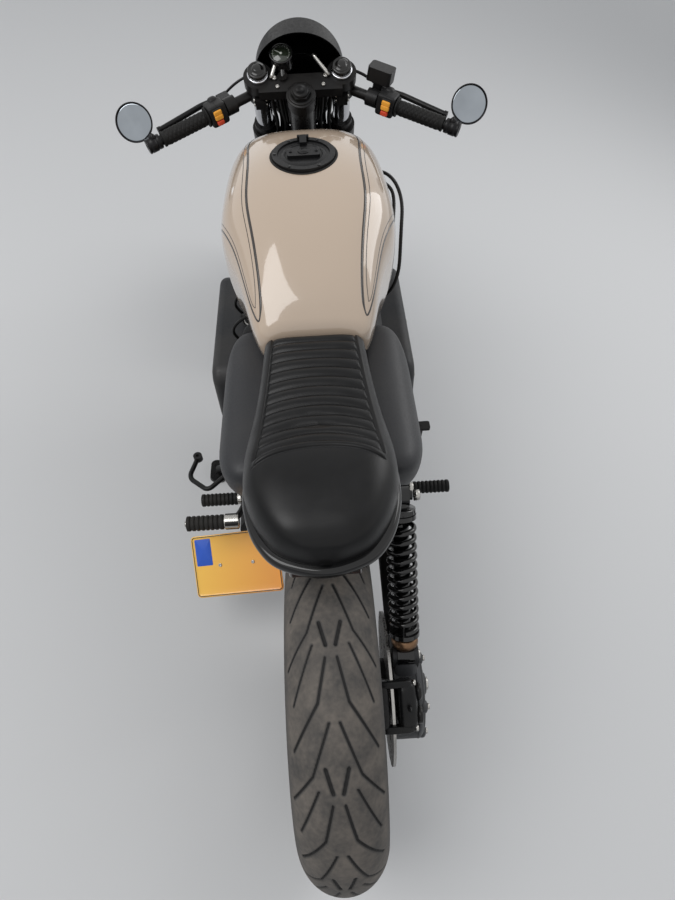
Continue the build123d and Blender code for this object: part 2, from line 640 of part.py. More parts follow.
top_rail = [
    (18, head_high.Y - 17, head_high.Z - 2),
    (TANK_RAIL_X - 4, 1010, RAIL_HEIGHT + 15),
    (TANK_RAIL_X, 720, RAIL_HEIGHT),
    (TANK_RAIL_X, 530, RAIL_HEIGHT),
    (RAIL_X, 450, RAIL_HEIGHT),
    (RAIL_X, TAIL_END, RAIL_HEIGHT),
    (0, TAIL_END, RAIL_HEIGHT),
]
rail_bends = [90, 120, 200, 200, 70]
strut_table = [
    (DOWN_TOP, DOWN_BOTTOM),
    ((TANK_RAIL_X - 1, ENGINE_FOOT_Y + 4, RAIL_HEIGHT),
     (ENGINE_FOOT_X, ENGINE_FOOT_Y, ENGINE_TOP + FOOT_DEPTH - FOOT_SINK)),
    ((RAIL_X - 1, REAR_FOOT_Y - 54, RAIL_HEIGHT),
     (REAR_FOOT_X, REAR_FOOT_Y, GEARBOX_TOP + FOOT_DEPTH - FOOT_SINK)),
]
foot_table = [
    (DOWN_BOTTOM_X, DOWN_BOTTOM_Y, ENGINE_TOP),
    (ENGINE_FOOT_X, ENGINE_FOOT_Y, ENGINE_TOP),
    (REAR_FOOT_X, REAR_FOOT_Y, GEARBOX_TOP),
]
cross_table = [(410, RAIL_X), (300, RAIL_X), (820, TANK_RAIL_X - 1)]
SHOCK_X = 131.0
SHOCK_TOP_Y = 205.0
SHOCK_DROP = 45.0
SHOCK_TOP_Z = RAIL_HEIGHT - SHOCK_DROP
BRACKET_WIDTH = 34.0
BRACKET_RISE = 24.0
SHOCK_BOTTOM_Y = 17.0
SHOCK_BOTTOM_Z = 452.0
SHOCK_EYE_WIDTH = 30.0
PIN_RADIUS = 8.0
with BuildPart() as frame:
    with BuildSketch(steer_plane(HEAD_BOTTOM)):
        Circle(HEAD_RADIUS)
    extrude(amount=HEAD_TOP - HEAD_BOTTOM)
    for side in (-1, 1):
        with BuildLine() as rail:
            FilletPolyline(*tube_points(top_rail, side), radius=rail_bends)
        with BuildSketch(start_plane(rail.line)):
            Circle(RAIL_RADIUS)
        sweep(path=rail.line)
        for strut_top, strut_bottom in strut_table:
            with BuildLine() as strut:
                Line(*tube_points([strut_top, strut_bottom], side))
            with BuildSketch(start_plane(strut.line)):
                Circle(TUBE_RADIUS)
            sweep(path=strut.line)
        for foot_x, foot_y, foot_z in foot_table:
            with BuildSketch(Plane.XY.offset(foot_z + FIT)):
                with Locations((side * foot_x, foot_y)):
                    Circle(TUBE_RADIUS + 7)
            extrude(amount=FOOT_DEPTH)
            with BuildSketch(Plane.XY.offset(foot_z + FIT)):
                with Locations((side * foot_x, foot_y)):
                    Circle(TUBE_RADIUS + 30)
            extrude(amount=-40, mode=Mode.SUBTRACT)
    for y, half in cross_table:
        with BuildSketch(side_plane(-half, Vector(0, y, RAIL_HEIGHT))):
            Circle(RAIL_RADIUS - 2)
        extrude(amount=2 * half)
    with BuildSketch(side_plane(RAIL_X - 4, Vector(0, SHOCK_TOP_Y, SHOCK_TOP_Z))):
        with Locations((0, BRACKET_RISE)):
            Rectangle(BRACKET_WIDTH, 2 * BRACKET_RISE + 12)
    extrude(amount=SHOCK_X - SHOCK_EYE_WIDTH / 2 - FIT - RAIL_X + 4)
    with BuildSketch(side_plane(RAIL_X - 4, Vector(0, SHOCK_TOP_Y, SHOCK_TOP_Z))):
        Circle(PIN_RADIUS)
    extrude(amount=SHOCK_X + SHOCK_EYE_WIDTH / 2 + 6 - RAIL_X + 4)
    with BuildSketch(steer_plane(HEAD_BOTTOM - 1)):
        Circle(STEM_RADIUS + FIT)
    extrude(amount=HEAD_TOP - HEAD_BOTTOM + 2, mode=Mode.SUBTRACT)
    with BuildSketch(steer_plane(HEAD_BOTTOM)):
        Circle(60)
    extrude(amount=-40, mode=Mode.SUBTRACT)
frame.part.label = "frame"
export_step(parked(frame.part), "parts/frame.step")

# Fuel tank: lofted sections with knee recesses, a tunnel over the rails and the filler recess.
# Its heights are counted from the middle of the frame's top rails.
TUNNEL_HALF = 82.0
TUNNEL_RISE = 35.0
TUNNEL_HEAD_RISE = 139.0
TUNNEL_BEND = 935.0
TUNNEL_HEAD = 1100.0
FILLER_Y = 862.0
FILLER_RADIUS = 64.0
FILLER_RISE = 201.0
FILLER_FLOOR = RAIL_HEIGHT + FILLER_RISE
NECK_RADIUS = 24.0
NECK_DEPTH = 70.0
TANK_TUCK = 10.0
# Columns: y, half width, bottom, height of the widest line, top
tank_sections = [
    (1078, 104, 65, 113, 157),
    (1020, 146, 10, 97, 193),
    (930, 172, -30, 85, 215),
    (830, 180, -35, 77, 218),
    (745, 177, -35, 70, 203),
    (680, 156, -33, 65, 183),
    (600, 132, -25, 55, 145),
    (540, 116, -15, 47, 105),
    (503, 102, 10, 43, 71),
]
tunnel_roof = RAIL_HEIGHT + TUNNEL_RISE
tunnel_head = RAIL_HEIGHT + TUNNEL_HEAD_RISE
tunnel_base = RAIL_HEIGHT - TUNNEL_HEAD_RISE
tank_front = tank_sections[0][0]
tank_rear = tank_sections[-1][0]
with BuildPart() as tank:
    for y, half, low_rise, wide_rise, high_rise in tank_sections:
        low = RAIL_HEIGHT + low_rise
        wide = RAIL_HEIGHT + wide_rise
        high = RAIL_HEIGHT + high_rise
        rise = high - wide
        shoulder_x = half * 0.62
        shoulder_z = high - rise * 0.1
        flank_x = half * 0.89
        flank_z = wide + rise * 0.66
        with BuildSketch(Plane(origin=(0, y, 0), x_dir=(1, 0, 0), z_dir=(0, -1, 0))):
            with BuildLine():
                Line((half - TANK_TUCK, low), (half, wide))
                ThreePointArc((half, wide), (flank_x, flank_z), (shoulder_x, shoulder_z))
                ThreePointArc((shoulder_x, shoulder_z), (0, high), (-shoulder_x, shoulder_z))
                ThreePointArc((-shoulder_x, shoulder_z), (-flank_x, flank_z), (-half, wide))
                Line((-half, wide), (-half + TANK_TUCK, low))
                Line((-half + TANK_TUCK, low), (half - TANK_TUCK, low))
            make_face()
    loft()
    with BuildSketch(Plane.YZ.offset(-TUNNEL_HALF)):
        with BuildLine():
            Polyline(
                (tank_rear - TUNNEL_HALF, tunnel_base),
                (tank_rear - TUNNEL_HALF, tunnel_roof),
                (TUNNEL_BEND, tunnel_roof),
                (TUNNEL_HEAD, tunnel_head),
                (tank_front + TUNNEL_HALF, tunnel_head),
                (tank_front + TUNNEL_HALF, tunnel_base),
                close=True,
            )
        make_face()
    extrude(amount=2 * TUNNEL_HALF, mode=Mode.SUBTRACT)
    with BuildSketch(Plane.XY.offset(FILLER_FLOOR)):
        with Locations((0, FILLER_Y)):
            Circle(FILLER_RADIUS + FIT)
    extrude(amount=FILLER_RADIUS, mode=Mode.SUBTRACT)
    with BuildSketch(Plane.XY.offset(FILLER_FLOOR - NECK_DEPTH)):
        with Locations((0, FILLER_Y)):
            Circle(NECK_RADIUS)
    extrude(amount=NECK_DEPTH + 1, mode=Mode.SUBTRACT)
tank.part.label = "fuel_tank"
export_step(parked(tank.part), "parts/fuel_tank.step")

# Filler ring, and the lid that opens forwards on its hinge at the front of the ring
RING_WALL = 11.0
RING_FLOOR = 5.0
RING_RISE = 21.0
RING_TOP = FILLER_FLOOR + RING_RISE
LID_RADIUS = FILLER_RADIUS - RING_WALL - FIT
LID_SETBACK = 3.0
LID_TOP = RING_TOP - LID_SETBACK
LID_TAPER = 2.0
KNUCKLE_RADIUS = 3.7
KNUCKLE_HALF = 7.0
EAR_HALF = 12.0
HINGE_PIN = 1.8
HINGE_SETBACK = 5.0
LID_HINGE = Vector(0, FILLER_Y + FILLER_RADIUS - HINGE_SETBACK, RING_TOP + KNUCKLE_RADIUS + FIT)
with BuildPart() as ring:
    with BuildSketch(Plane.XY.offset(FILLER_FLOOR + FIT)):
        with Locations((0, FILLER_Y)):
            Circle(FILLER_RADIUS)
            Circle(NECK_RADIUS, mode=Mode.SUBTRACT)
    extrude(amount=RING_FLOOR)
    with BuildSketch(Plane.XY.offset(FILLER_FLOOR + FIT)):
        with Locations((0, FILLER_Y)):
            Circle(FILLER_RADIUS)
            Circle(FILLER_RADIUS - RING_WALL, mode=Mode.SUBTRACT)
    extrude(amount=RING_RISE - FIT)
    for ear_start in (-EAR_HALF, KNUCKLE_HALF + FIT):
        with BuildSketch(side_plane(ear_start, LID_HINGE)):
            Circle(KNUCKLE_RADIUS)
            with Locations((0, -KNUCKLE_RADIUS)):
                Rectangle(2 * KNUCKLE_RADIUS, 2 * KNUCKLE_RADIUS)
        extrude(amount=EAR_HALF - KNUCKLE_HALF - FIT)
    with BuildSketch(side_plane(-EAR_HALF, LID_HINGE)):
        Circle(HINGE_PIN)
    extrude(amount=2 * EAR_HALF)
ring.part.label = "filler_ring"
export_step(parked(ring.part), "parts/filler_ring.step")

lid_base = FILLER_FLOOR + RING_FLOOR + 2 * FIT
LID_BRIDGE = 6.0
LID_BRIDGE_WIDTH = 66.0
LID_BRIDGE_LENGTH = 32.0
LID_ARM_REAR = -24.0
LID_ARM_NOTCH = -12.0
LID_ARM_TAPER = 4.0
arm_low = LID_TOP - LID_HINGE.Z - 1
with BuildPart() as lid:
    with BuildSketch(Plane.XY.offset(lid_base)):
        with Locations((0, FILLER_Y)):
            Circle(LID_RADIUS - LID_TAPER)
    with BuildSketch(Plane.XY.offset(LID_TOP - LID_TAPER)):
        with Locations((0, FILLER_Y)):
            Circle(LID_RADIUS)
    loft()
    with BuildSketch(Plane.XY.offset(LID_TOP - LID_TAPER)):
        with Locations((0, FILLER_Y)):
            Circle(LID_RADIUS)
    extrude(amount=LID_TAPER)
    with BuildSketch(Plane.XY.offset(LID_TOP)):
        with Locations((0, FILLER_Y)):
            RectangleRounded(LID_BRIDGE_WIDTH, LID_BRIDGE_LENGTH, 5)
    extrude(amount=LID_BRIDGE)
    with BuildSketch(side_plane(-KNUCKLE_HALF, LID_HINGE)):
        Circle(KNUCKLE_RADIUS)
        with BuildLine():
            Polyline(
                (0, -KNUCKLE_RADIUS),
                (0, KNUCKLE_RADIUS),
                (LID_ARM_REAR, KNUCKLE_RADIUS - LID_ARM_TAPER),
                (LID_ARM_REAR, arm_low),
                (LID_ARM_NOTCH, arm_low),
                (LID_ARM_NOTCH, -KNUCKLE_RADIUS),
                close=True,
            )
        make_face()
    extrude(amount=2 * KNUCKLE_HALF)
    with BuildSketch(side_plane(-KNUCKLE_HALF, LID_HINGE)):
        Circle(HINGE_PIN + FIT)
    extrude(amount=2 * KNUCKLE_HALF, mode=Mode.SUBTRACT)
lid.part.label = "filler_lid"
export_step(parked(lid.part), "parts/filler_lid.step")


SEAT_FRONT_HALF = 86.0
WAIST_Y = 340.0
WAIST_HALF = 99.0
HUMP_HALF = 122.0
HUMP_REAR = 160.0
TAIL_CORNER_X = 97.0
TAIL_CORNER_Y = 92.0
TAIL_ROUND_X = 57.0
TAIL_ROUND_Y = 52.0
TAIL_Y = 40.0


def seat_half(margin):
    """The right half of the seat's plan, grown by a margin: straight flanks and a round tail."""
    corner = (TAIL_CORNER_X + margin, TAIL_CORNER_Y - margin / 2)
    tail_round = (TAIL_ROUND_X + margin / 2, TAIL_ROUND_Y - margin)
    hump = HUMP_HALF + margin
    Line((0, SEAT_FRONT + margin), (SEAT_FRONT_HALF + margin, SEAT_FRONT + margin))
    Line((SEAT_FRONT_HALF + margin, SEAT_FRONT + margin), (WAIST_HALF + margin, WAIST_Y))
    Line((WAIST_HALF + margin, WAIST_Y), (hump, HUMP_FRONT))
    ThreePointArc((hump, HUMP_FRONT), (hump, HUMP_REAR), corner)
    ThreePointArc(corner, tail_round, (0, TAIL_Y - margin))


# Tail tray below the seat, seat pad, and the hump behind it
TRAY_MARGIN = 3.0
SEAT_BOTTOM = TRAY_BOTTOM + TRAY_THICKNESS + FIT
SEAT_EDGE = 14.0
HUMP_CROWN = 8.0
HUMP_SLOPE = 40.0
HUMP_BACK = 90.0
TAIL_EDGE = 35.0
TAIL_LIP = 20.0
seat_box = 4 * HUMP_HALF
with BuildPart() as tray:
    with BuildSketch(Plane.XY.offset(TRAY_BOTTOM)):
        with BuildLine():
            seat_half(TRAY_MARGIN)
            mirror(about=Plane.YZ)
        make_face()
    extrude(amount=TRAY_THICKNESS)
tray.part.label = "tail_tray"
export_step(parked(tray.part), "parts/tail_tray.step")

with BuildPart() as pad:
    with BuildSketch(Plane.XY.offset(SEAT_BOTTOM)):
        with BuildLine():
            seat_half(0)
            mirror(about=Plane.YZ)
        make_face()
        with Locations((0, HUMP_FRONT)):
            Rectangle(seat_box, seat_box, align=(Align.CENTER, Align.MAX), mode=Mode.SUBTRACT)
    extrude(amount=SEAT_THICKNESS)
    fillet(pad.faces().sort_by(Axis.Z)[-1].edges().filter_by(Axis.X, reverse=True), radius=SEAT_EDGE)
pad.part.label = "seat_pad"
export_step(parked(pad.part), "parts/seat_pad.step")

hump_top = SEAT_BOTTOM + HUMP_HEIGHT
with BuildPart() as hump:
    with BuildSketch(Plane.XY.offset(SEAT_BOTTOM)):
        with BuildLine():
            seat_half(0)
            mirror(about=Plane.YZ)
        make_face()
        with Locations((0, HUMP_FRONT - FIT)):
            Rectangle(seat_box, seat_box, align=(Align.CENTER, Align.MIN), mode=Mode.SUBTRACT)
    extrude(amount=HUMP_HEIGHT)
    hump_crown = hump_top - HUMP_CROWN
    with BuildSketch(Plane.YZ.offset(-seat_box / 2)):
        with BuildLine():
            Line((HUMP_FRONT, SEAT_BOTTOM), (HUMP_FRONT, SEAT_BOTTOM + SEAT_THICKNESS))
            Line((HUMP_FRONT, SEAT_BOTTOM + SEAT_THICKNESS), (HUMP_FRONT - HUMP_SLOPE, hump_crown))
            ThreePointArc(
                (HUMP_FRONT - HUMP_SLOPE, hump_crown),
                (HUMP_FRONT - HUMP_BACK, hump_crown),
                (TAIL_EDGE, SEAT_BOTTOM + TAIL_LIP),
            )
            Line((TAIL_EDGE, SEAT_BOTTOM + TAIL_LIP), (TAIL_EDGE, SEAT_BOTTOM))
            Line((TAIL_EDGE, SEAT_BOTTOM), (HUMP_FRONT, SEAT_BOTTOM))
        make_face()
    extrude(amount=seat_box, mode=Mode.INTERSECT)
hump.part.label = "seat_hump"
export_step(parked(hump.part), "parts/seat_hump.step")

# Rear lamp: a slim bar under the tail
REAR_LAMP_WIDTH = 110.0
REAR_LAMP_LENGTH = 14.0
REAR_LAMP_DEPTH = 16.0
with BuildPart() as rear_lamp:
    with BuildSketch(Plane.XY.offset(TRAY_BOTTOM - FIT)):
        with Locations((0, TAIL_Y + 11)):
            RectangleRounded(REAR_LAMP_WIDTH, REAR_LAMP_LENGTH, 5)
    extrude(amount=-REAR_LAMP_DEPTH)
rear_lamp.part.label = "rear_lamp"
export_step(parked(rear_lamp.part), "parts/rear_lamp.step")

# Side covers: bulged panels below the seat, wider towards their lower rear corner. Each is lofted
# over sections of the same outline, which shrinks and moves as the panel swells outwards.
COVER_INNER = 99.0
TAB_SINK = 3.0
TAB_DROP = 17.0
TAB_WIDTH = 18.0
TAB_LENGTH = 44.0
# The outline's corners, as y and the drop below the rails, with the radius of each corner
cover_outline = [
    (650, 37, 22), (655, 95, 40), (560, 215, 60), (420, 275, 50), (335, 235, 50), (262, 95, 40), (250, 21, 14),
]
COVER_MIDDLE_Y = 455.0
COVER_MIDDLE_DROP = 170.0
# Columns: distance out from the inner face, size against the outline
cover_sections = [(0.0, 1.0), (46.0, 0.94), (80.0, 0.78), (100.0, 0.52)]
with BuildPart() as side_covers:
    for side in (-1, 1):
        for distance, size in cover_sections:
            corners = [
                (COVER_MIDDLE_Y + (y - COVER_MIDDLE_Y) * size,
                 RAIL_HEIGHT - COVER_MIDDLE_DROP - (drop - COVER_MIDDLE_DROP) * size)
                for y, drop, bend in cover_outline
            ]
            with BuildSketch(side_plane(side * (COVER_INNER + distance))):
                with BuildLine():
                    FilletPolyline(*corners, radius=[bend * size for y, drop, bend in cover_outline], close=True)
                make_face()
        loft(ruled=True)
        for y in (300, 385):
            tab_centre = Vector(0, y, RAIL_HEIGHT - TAB_DROP)
            with BuildSketch(side_plane(side * (COVER_INNER + TAB_SINK), tab_centre)):
                Rectangle(TAB_WIDTH, TAB_LENGTH)
            extrude(amount=-side * (COVER_INNER + TAB_SINK - RAIL_X - RAIL_RADIUS - FIT))
side_covers.part.label = "side_covers"
export_step(parked(side_covers.part), "parts/side_covers.step")

# Engine: the block with its cylinder head on the left and the side stand's bracket below
HEAD_ROOM = 14.0
HEAD_CORNER = 16.0
BLOCK_EDGE = 22.0
engine_middle = (ENGINE_REAR + ENGINE_FRONT) / 2
engine_length = ENGINE_FRONT - ENGINE_REAR
engine_height = ENGINE_TOP - ENGINE_BOTTOM
STAND_PIVOT = Vector(-92, 672, 232)
STAND_FOOT_X = -318.0
STAND_FOOT_Y = 730.0
STAND_FOLDED = Vector(-10, -250, -35)
STAND_RADIUS = 12.0
STAND_BOSS = 16.0
BOSS_HALF = 12.0
BRACKET_WALL = 8.0
BRACKET_REACH = 36.0
SLOT_LENGTH = 80.0
BRACKET_POST_X = 14.0
BRACKET_POST_WIDTH = 34.0
BRACKET_POST_LENGTH = 40.0
BRACKET_POST_FOOT = 23.0
STAND_PIN = 6.0
FOOT_WALL = 9.0
bracket_half = BOSS_HALF + FIT + BRACKET_WALL
ground_normal = Vector(math.sin(lean_angle) * math.cos(pitch_angle), math.sin(pitch_angle),
                       math.cos(lean_angle) * math.cos(pitch_angle))
foot_height = -(rear_rise + STAND_FOOT_X * ground_normal.X + STAND_FOOT_Y * ground_normal.Y) / ground_normal.Z
STAND_FOOT = Vector(STAND_FOOT_X, STAND_FOOT_Y, foot_height)
LEG_END = STAND_FOOT + ground_normal * (FOOT_WALL + 5)
STAND_AXIS = (LEG_END - STAND_PIVOT).cross(STAND_FOLDED).normalized()
stand_right = (Vector(1, 0, 0) - STAND_AXIS * STAND_AXIS.X).normalized()
stand_plane = Plane(origin=STAND_PIVOT, x_dir=stand_right, z_dir=STAND_AXIS)
with BuildPart() as block:
    with BuildSketch(Plane.XY.offset(ENGINE_BOTTOM)):
        with Locations(((BLOCK_RIGHT - BLOCK_LEFT) / 2, engine_middle)):
            Rectangle(BLOCK_LEFT + BLOCK_RIGHT, engine_length)
    extrude(amount=engine_height)
    chamfer(block.edges().filter_by(Axis.Y).group_by(Axis.X)[-1], BLOCK_EDGE)
    with BuildSketch(side_plane(-BLOCK_LEFT, Vector(0, engine_middle, ENGINE_BOTTOM + engine_height / 2))):
        RectangleRounded(engine_length - 2 * HEAD_ROOM, engine_height - 2 * HEAD_ROOM, HEAD_CORNER)
    extrude(amount=-HEAD_WIDTH)
    with BuildSketch(stand_plane.offset(-bracket_half)):
        Circle(STAND_BOSS + 1)
        with Locations((BRACKET_REACH / 2, 0)):
            Rectangle(BRACKET_REACH, 2 * STAND_BOSS + 2)
    extrude(amount=2 * bracket_half)
    with BuildSketch(stand_plane.offset(-BOSS_HALF - FIT)):
        Circle(STAND_BOSS + 3)
        with Locations((BRACKET_REACH / 2 - SLOT_LENGTH / 2, 0)):
            Rectangle(SLOT_LENGTH, SLOT_LENGTH)
    extrude(amount=2 * BOSS_HALF + 2 * FIT, mode=Mode.SUBTRACT)
    with BuildSketch(stand_plane.offset(-bracket_half)):
        Circle(STAND_PIN)
    extrude(amount=2 * bracket_half)
    with BuildSketch(Plane.XY.offset(ENGINE_BOTTOM)):
        with Locations((STAND_PIVOT.X + BRACKET_POST_X, STAND_PIVOT.Y)):
            Rectangle(BRACKET_POST_WIDTH, BRACKET_POST_LENGTH)
    extrude(amount=BRACKET_POST_FOOT - (ENGINE_BOTTOM - STAND_PIVOT.Z))
block.part.label = "engine_block"
export_step(parked(block.part), "parts/engine_block.step")

# Engine covers: the finned head cover on the left, the crank cover on the right, the sump and the
# front cover, four separate castings
COVER_RIBS = 9
RIB_STEP = 15.0
RIB_WIDTH = 7.0
RIB_DEPTH = 6.0
HEAD_COVER_CORNER = 40.0
HEAD_COVER_EDGE = 20.0
CRANK_COVER_MARGIN = 8.0
CRANK_COVER_DROP = 25.0
CRANK_COVER_CORNER = 46.0
CRANK_COVER_EDGE = 24.0
SUMP_X = 30.0
SUMP_TOP_WIDTH = 180.0
SUMP_BASE_WIDTH = 140.0
FRONT_COVER_X = 10.0
FRONT_COVER_WIDTH = 230.0
FRONT_COVER_DEPTH = 26.0
FRONT_COVER_CORNER = 34.0
FRONT_COVER_EDGE = 8.0
PULLEY_X = 92.0
PULLEY_HEIGHT = 90.0
PULLEY_RADIUS = 70.0
engine_centre = Vector(0, engine_middle, ENGINE_BOTTOM + engine_height / 2)
with BuildPart() as covers:
    head_cover_plane = side_plane(-BLOCK_LEFT - HEAD_WIDTH, engine_centre)
    with BuildSketch(head_cover_plane):
        RectangleRounded(engine_length - 3 * HEAD_ROOM, engine_height - 3 * HEAD_ROOM, HEAD_COVER_CORNER)
    extrude(amount=-COVER_WIDTH)
    fillet(covers.faces().sort_by(Axis.X)[0].edges(), radius=HEAD_COVER_EDGE)
    with BuildSketch(head_cover_plane.offset(-COVER_WIDTH)):
        with GridLocations(0, RIB_STEP, 1, COVER_RIBS):
            Rectangle(engine_length - 6 * HEAD_ROOM - HEAD_COVER_EDGE, RIB_WIDTH)
    extrude(amount=RIB_DEPTH, mode=Mode.SUBTRACT)
    with BuildSketch(side_plane(BLOCK_RIGHT, engine_centre)):
        RectangleRounded(
            engine_length - 2 * CRANK_COVER_MARGIN, engine_height - 2 * CRANK_COVER_DROP, CRANK_COVER_CORNER
        )
    extrude(amount=CRANK_COVER_WIDTH)
    fillet(covers.faces().sort_by(Axis.X)[-1].edges(), radius=CRANK_COVER_EDGE)
    with BuildSketch(Plane.XY.offset(ENGINE_BOTTOM)):
        with Locations((SUMP_X, engine_middle)):
            RectangleRounded(SUMP_TOP_WIDTH, engine_length - 40, 20)
    with BuildSketch(Plane.XY.offset(ENGINE_BOTTOM - SUMP_DEPTH)):
        with Locations((SUMP_X, engine_middle)):
            RectangleRounded(SUMP_BASE_WIDTH, engine_length - 90, 30)
    loft()
    with BuildSketch(Plane.XZ.offset(-ENGINE_FRONT)):
        with Locations((FRONT_COVER_X, engine_centre.Z)):
            RectangleRounded(FRONT_COVER_WIDTH, engine_height - 24, FRONT_COVER_CORNER)
        with Locations((PULLEY_X, ENGINE_BOTTOM + PULLEY_HEIGHT)):
            Circle(PULLEY_RADIUS)
    extrude(amount=-FRONT_COVER_DEPTH)
    fillet(covers.faces().sort_by(Axis.Y)[-1].edges(), radius=FRONT_COVER_EDGE)
covers.part.label = "engine_covers"
export_step(parked(covers.part), "parts/engine_covers.step")

# Gearbox and clutch housing, with the swingarm's pivot boss
GEARBOX_REAR = 478.0
GEARBOX_CORNER = 40.0
CLUTCH_X = 25.0
CLUTCH_RISE = 95.0
CLUTCH_WIDTH = 270.0
CLUTCH_HEIGHT = 230.0
CLUTCH_NECK = 70.0
CLUTCH_CORNER = 50.0
PIVOT_BOSS_RADIUS = 36.0
PIVOT_BOSS_HALF = 40.0
PIVOT_BOSS_REACH = 60.0
gearbox_front = ENGINE_REAR - CLUTCH_NECK
with BuildPart() as gearbox:
    with BuildSketch(Plane.XZ.offset(-ENGINE_REAR)):
        with Locations((CLUTCH_X, ENGINE_BOTTOM + CLUTCH_RISE)):
            RectangleRounded(CLUTCH_WIDTH, CLUTCH_HEIGHT, CLUTCH_CORNER)
    with BuildSketch(Plane.XZ.offset(-gearbox_front)):
        with Locations((0, gearbox_middle)):
            RectangleRounded(GEARBOX_WIDTH, GEARBOX_HEIGHT, GEARBOX_CORNER)
    loft()
    with BuildSketch(Plane.XZ.offset(-gearbox_front)):
        with Locations((0, gearbox_middle)):
            RectangleRounded(GEARBOX_WIDTH, GEARBOX_HEIGHT, GEARBOX_CORNER)
    extrude(amount=gearbox_front - GEARBOX_REAR)
    with BuildSketch(side_plane(-PIVOT_BOSS_HALF, Vector(0, SWINGARM_PIVOT_Y, SWINGARM_PIVOT_Z))):
        Circle(PIVOT_BOSS_RADIUS)
        with Locations((PIVOT_BOSS_REACH / 2, 0)):
            Rectangle(PIVOT_BOSS_REACH, 2 * PIVOT_BOSS_RADIUS)
    extrude(amount=2 * PIVOT_BOSS_HALF)
gearbox.part.label = "gearbox"
export_step(parked(gearbox.part), "parts/gearbox.step")

# Intake: a long plenum above the engine with four throttle bodies down to the head
PORT_STEP = 98.0
PORT_Y = [engine_middle + PORT_STEP * (k - 1.5) for k in range(4)]
PLENUM_X = 20.0
PLENUM_RISE = 80.0
PLENUM_Z = ENGINE_TOP + PLENUM_RISE
PLENUM_RADIUS = 42.0
PLENUM_CORNER = 20.0
PLENUM_MARGIN = 50.0
RUNNER_X = -BLOCK_LEFT - 30
RUNNER_RADIUS = 21.0
RUNNER_BEND = 40.0
with BuildPart() as intake:
    with BuildSketch(Plane.XZ.offset(-ENGINE_REAR - PLENUM_MARGIN)):
        with Locations((PLENUM_X - 10, PLENUM_Z)):
            RectangleRounded(2 * PLENUM_RADIUS, 1.6 * PLENUM_RADIUS, PLENUM_CORNER)
    extrude(amount=-(engine_length - 2 * PLENUM_MARGIN + 10))
    for y in PORT_Y:
        with BuildLine() as runner:
            FilletPolyline(
                (PLENUM_X - 30, y, PLENUM_Z),
                (RUNNER_X, y, PLENUM_Z - 8),
                (RUNNER_X, y, ENGINE_TOP - HEAD_ROOM + FIT),
                radius=RUNNER_BEND,
            )
        with BuildSketch(start_plane(runner.line)):
            Circle(RUNNER_RADIUS)
        sweep(path=runner.line)
intake.part.label = "intake"
export_step(parked(intake.part), "parts/intake.step")

# Radiator, parallel to the down tubes and carried on them
down_top = Vector(*DOWN_TOP)
down_bottom = Vector(*DOWN_BOTTOM)
down_up = Vector(0, down_top.Y - down_bottom.Y, down_top.Z - down_bottom.Z).normalized()
down_forward = Vector(0, down_up.Z, -down_up.Y)
RADIATOR_GAP = 28.0
RADIATOR_DEPTH = 34.0
RADIATOR_DROP = 30.0
RADIATOR_WIDTH = 330.0
RADIATOR_HEIGHT = 170.0
RADIATOR_CORNER = 10.0
RADIATOR_PEG_X = 62.0
RADIATOR_PEG_DROP = 10.0
RADIATOR_PEG_RADIUS = 8.0
down_middle = Vector(0, (down_top.Y + down_bottom.Y) / 2, (down_top.Z + down_bottom.Z) / 2)
radiator_centre = down_middle + down_forward * (RADIATOR_GAP + RADIATOR_DEPTH / 2) - down_up * RADIATOR_DROP
radiator_plane = Plane(origin=radiator_centre, x_dir=(1, 0, 0), z_dir=down_forward)
with BuildPart() as radiator:
    with BuildSketch(radiator_plane.offset(-RADIATOR_DEPTH / 2)):
        RectangleRounded(RADIATOR_WIDTH, RADIATOR_HEIGHT, RADIATOR_CORNER)
    extrude(amount=RADIATOR_DEPTH)
    for side in (-1, 1):
        with BuildSketch(radiator_plane.offset(-RADIATOR_DEPTH / 2)):
            with Locations((side * RADIATOR_PEG_X, -RADIATOR_PEG_DROP)):
                Circle(RADIATOR_PEG_RADIUS)
        extrude(amount=-(RADIATOR_GAP - TUBE_RADIUS + RADIATOR_PEG_RADIUS))
    for side in (-1, 1):
        with BuildLine() as down_tube:
            Line(*tube_points([DOWN_TOP, DOWN_BOTTOM], side))
        with BuildSketch(start_plane(down_tube.line)):
            Circle(TUBE_RADIUS + FIT)
        extrude(amount=(down_bottom - down_top).length, mode=Mode.SUBTRACT)
radiator.part.label = "radiator"
export_step(parked(radiator.part), "parts/radiator.step")

# Control cables: two looms that leave the frame's right down tube, pass round the outside of the
# tank and turn in below it to the plenum
CABLE_RADIUS = 4.0
CABLE_BENDS = [36, 80, 120, 80, 80, 50, 45]
tube_slope = (down_bottom - down_top).normalized()
plenum_right = PLENUM_X - 10 + PLENUM_RADIUS
# Columns: place down the tube, place of the end along the plenum, and how far the loop is tucked in
cable_table = [(86.0, 780.0, 0.0), (122.0, 830.0, 12.0)]
with BuildPart() as cables:
    for down, end_y, tuck in cable_table:
        leave = down_top + tube_slope * down + Vector(TUBE_RADIUS + CABLE_RADIUS * 0.4 + FIT, 0, 0)
        widest = RAIL_HEIGHT + 80 - 1.5 * tuck
        with BuildLine() as loom:
            FilletPolyline(
                leave,
                (118 - tuck, leave.Y, leave.Z),
                (168 - tuck, 1085, widest - 22),
                (201 - tuck, 1010, widest),
                (213 - tuck, end_y + 130, widest),
                (202 - tuck, end_y + 56, widest - 34),
                (196 - tuck, end_y + 8, widest - 124),
                (158 - tuck, end_y, PLENUM_Z),
                (plenum_right + FIT, end_y, PLENUM_Z),
                radius=CABLE_BENDS,
            )
        with BuildSketch(start_plane(loom.line)):
            Circle(CABLE_RADIUS)
        sweep(path=loom.line)
cables.part.label = "control_cables"
export_step(parked(cables.part), "parts/control_cables.step")

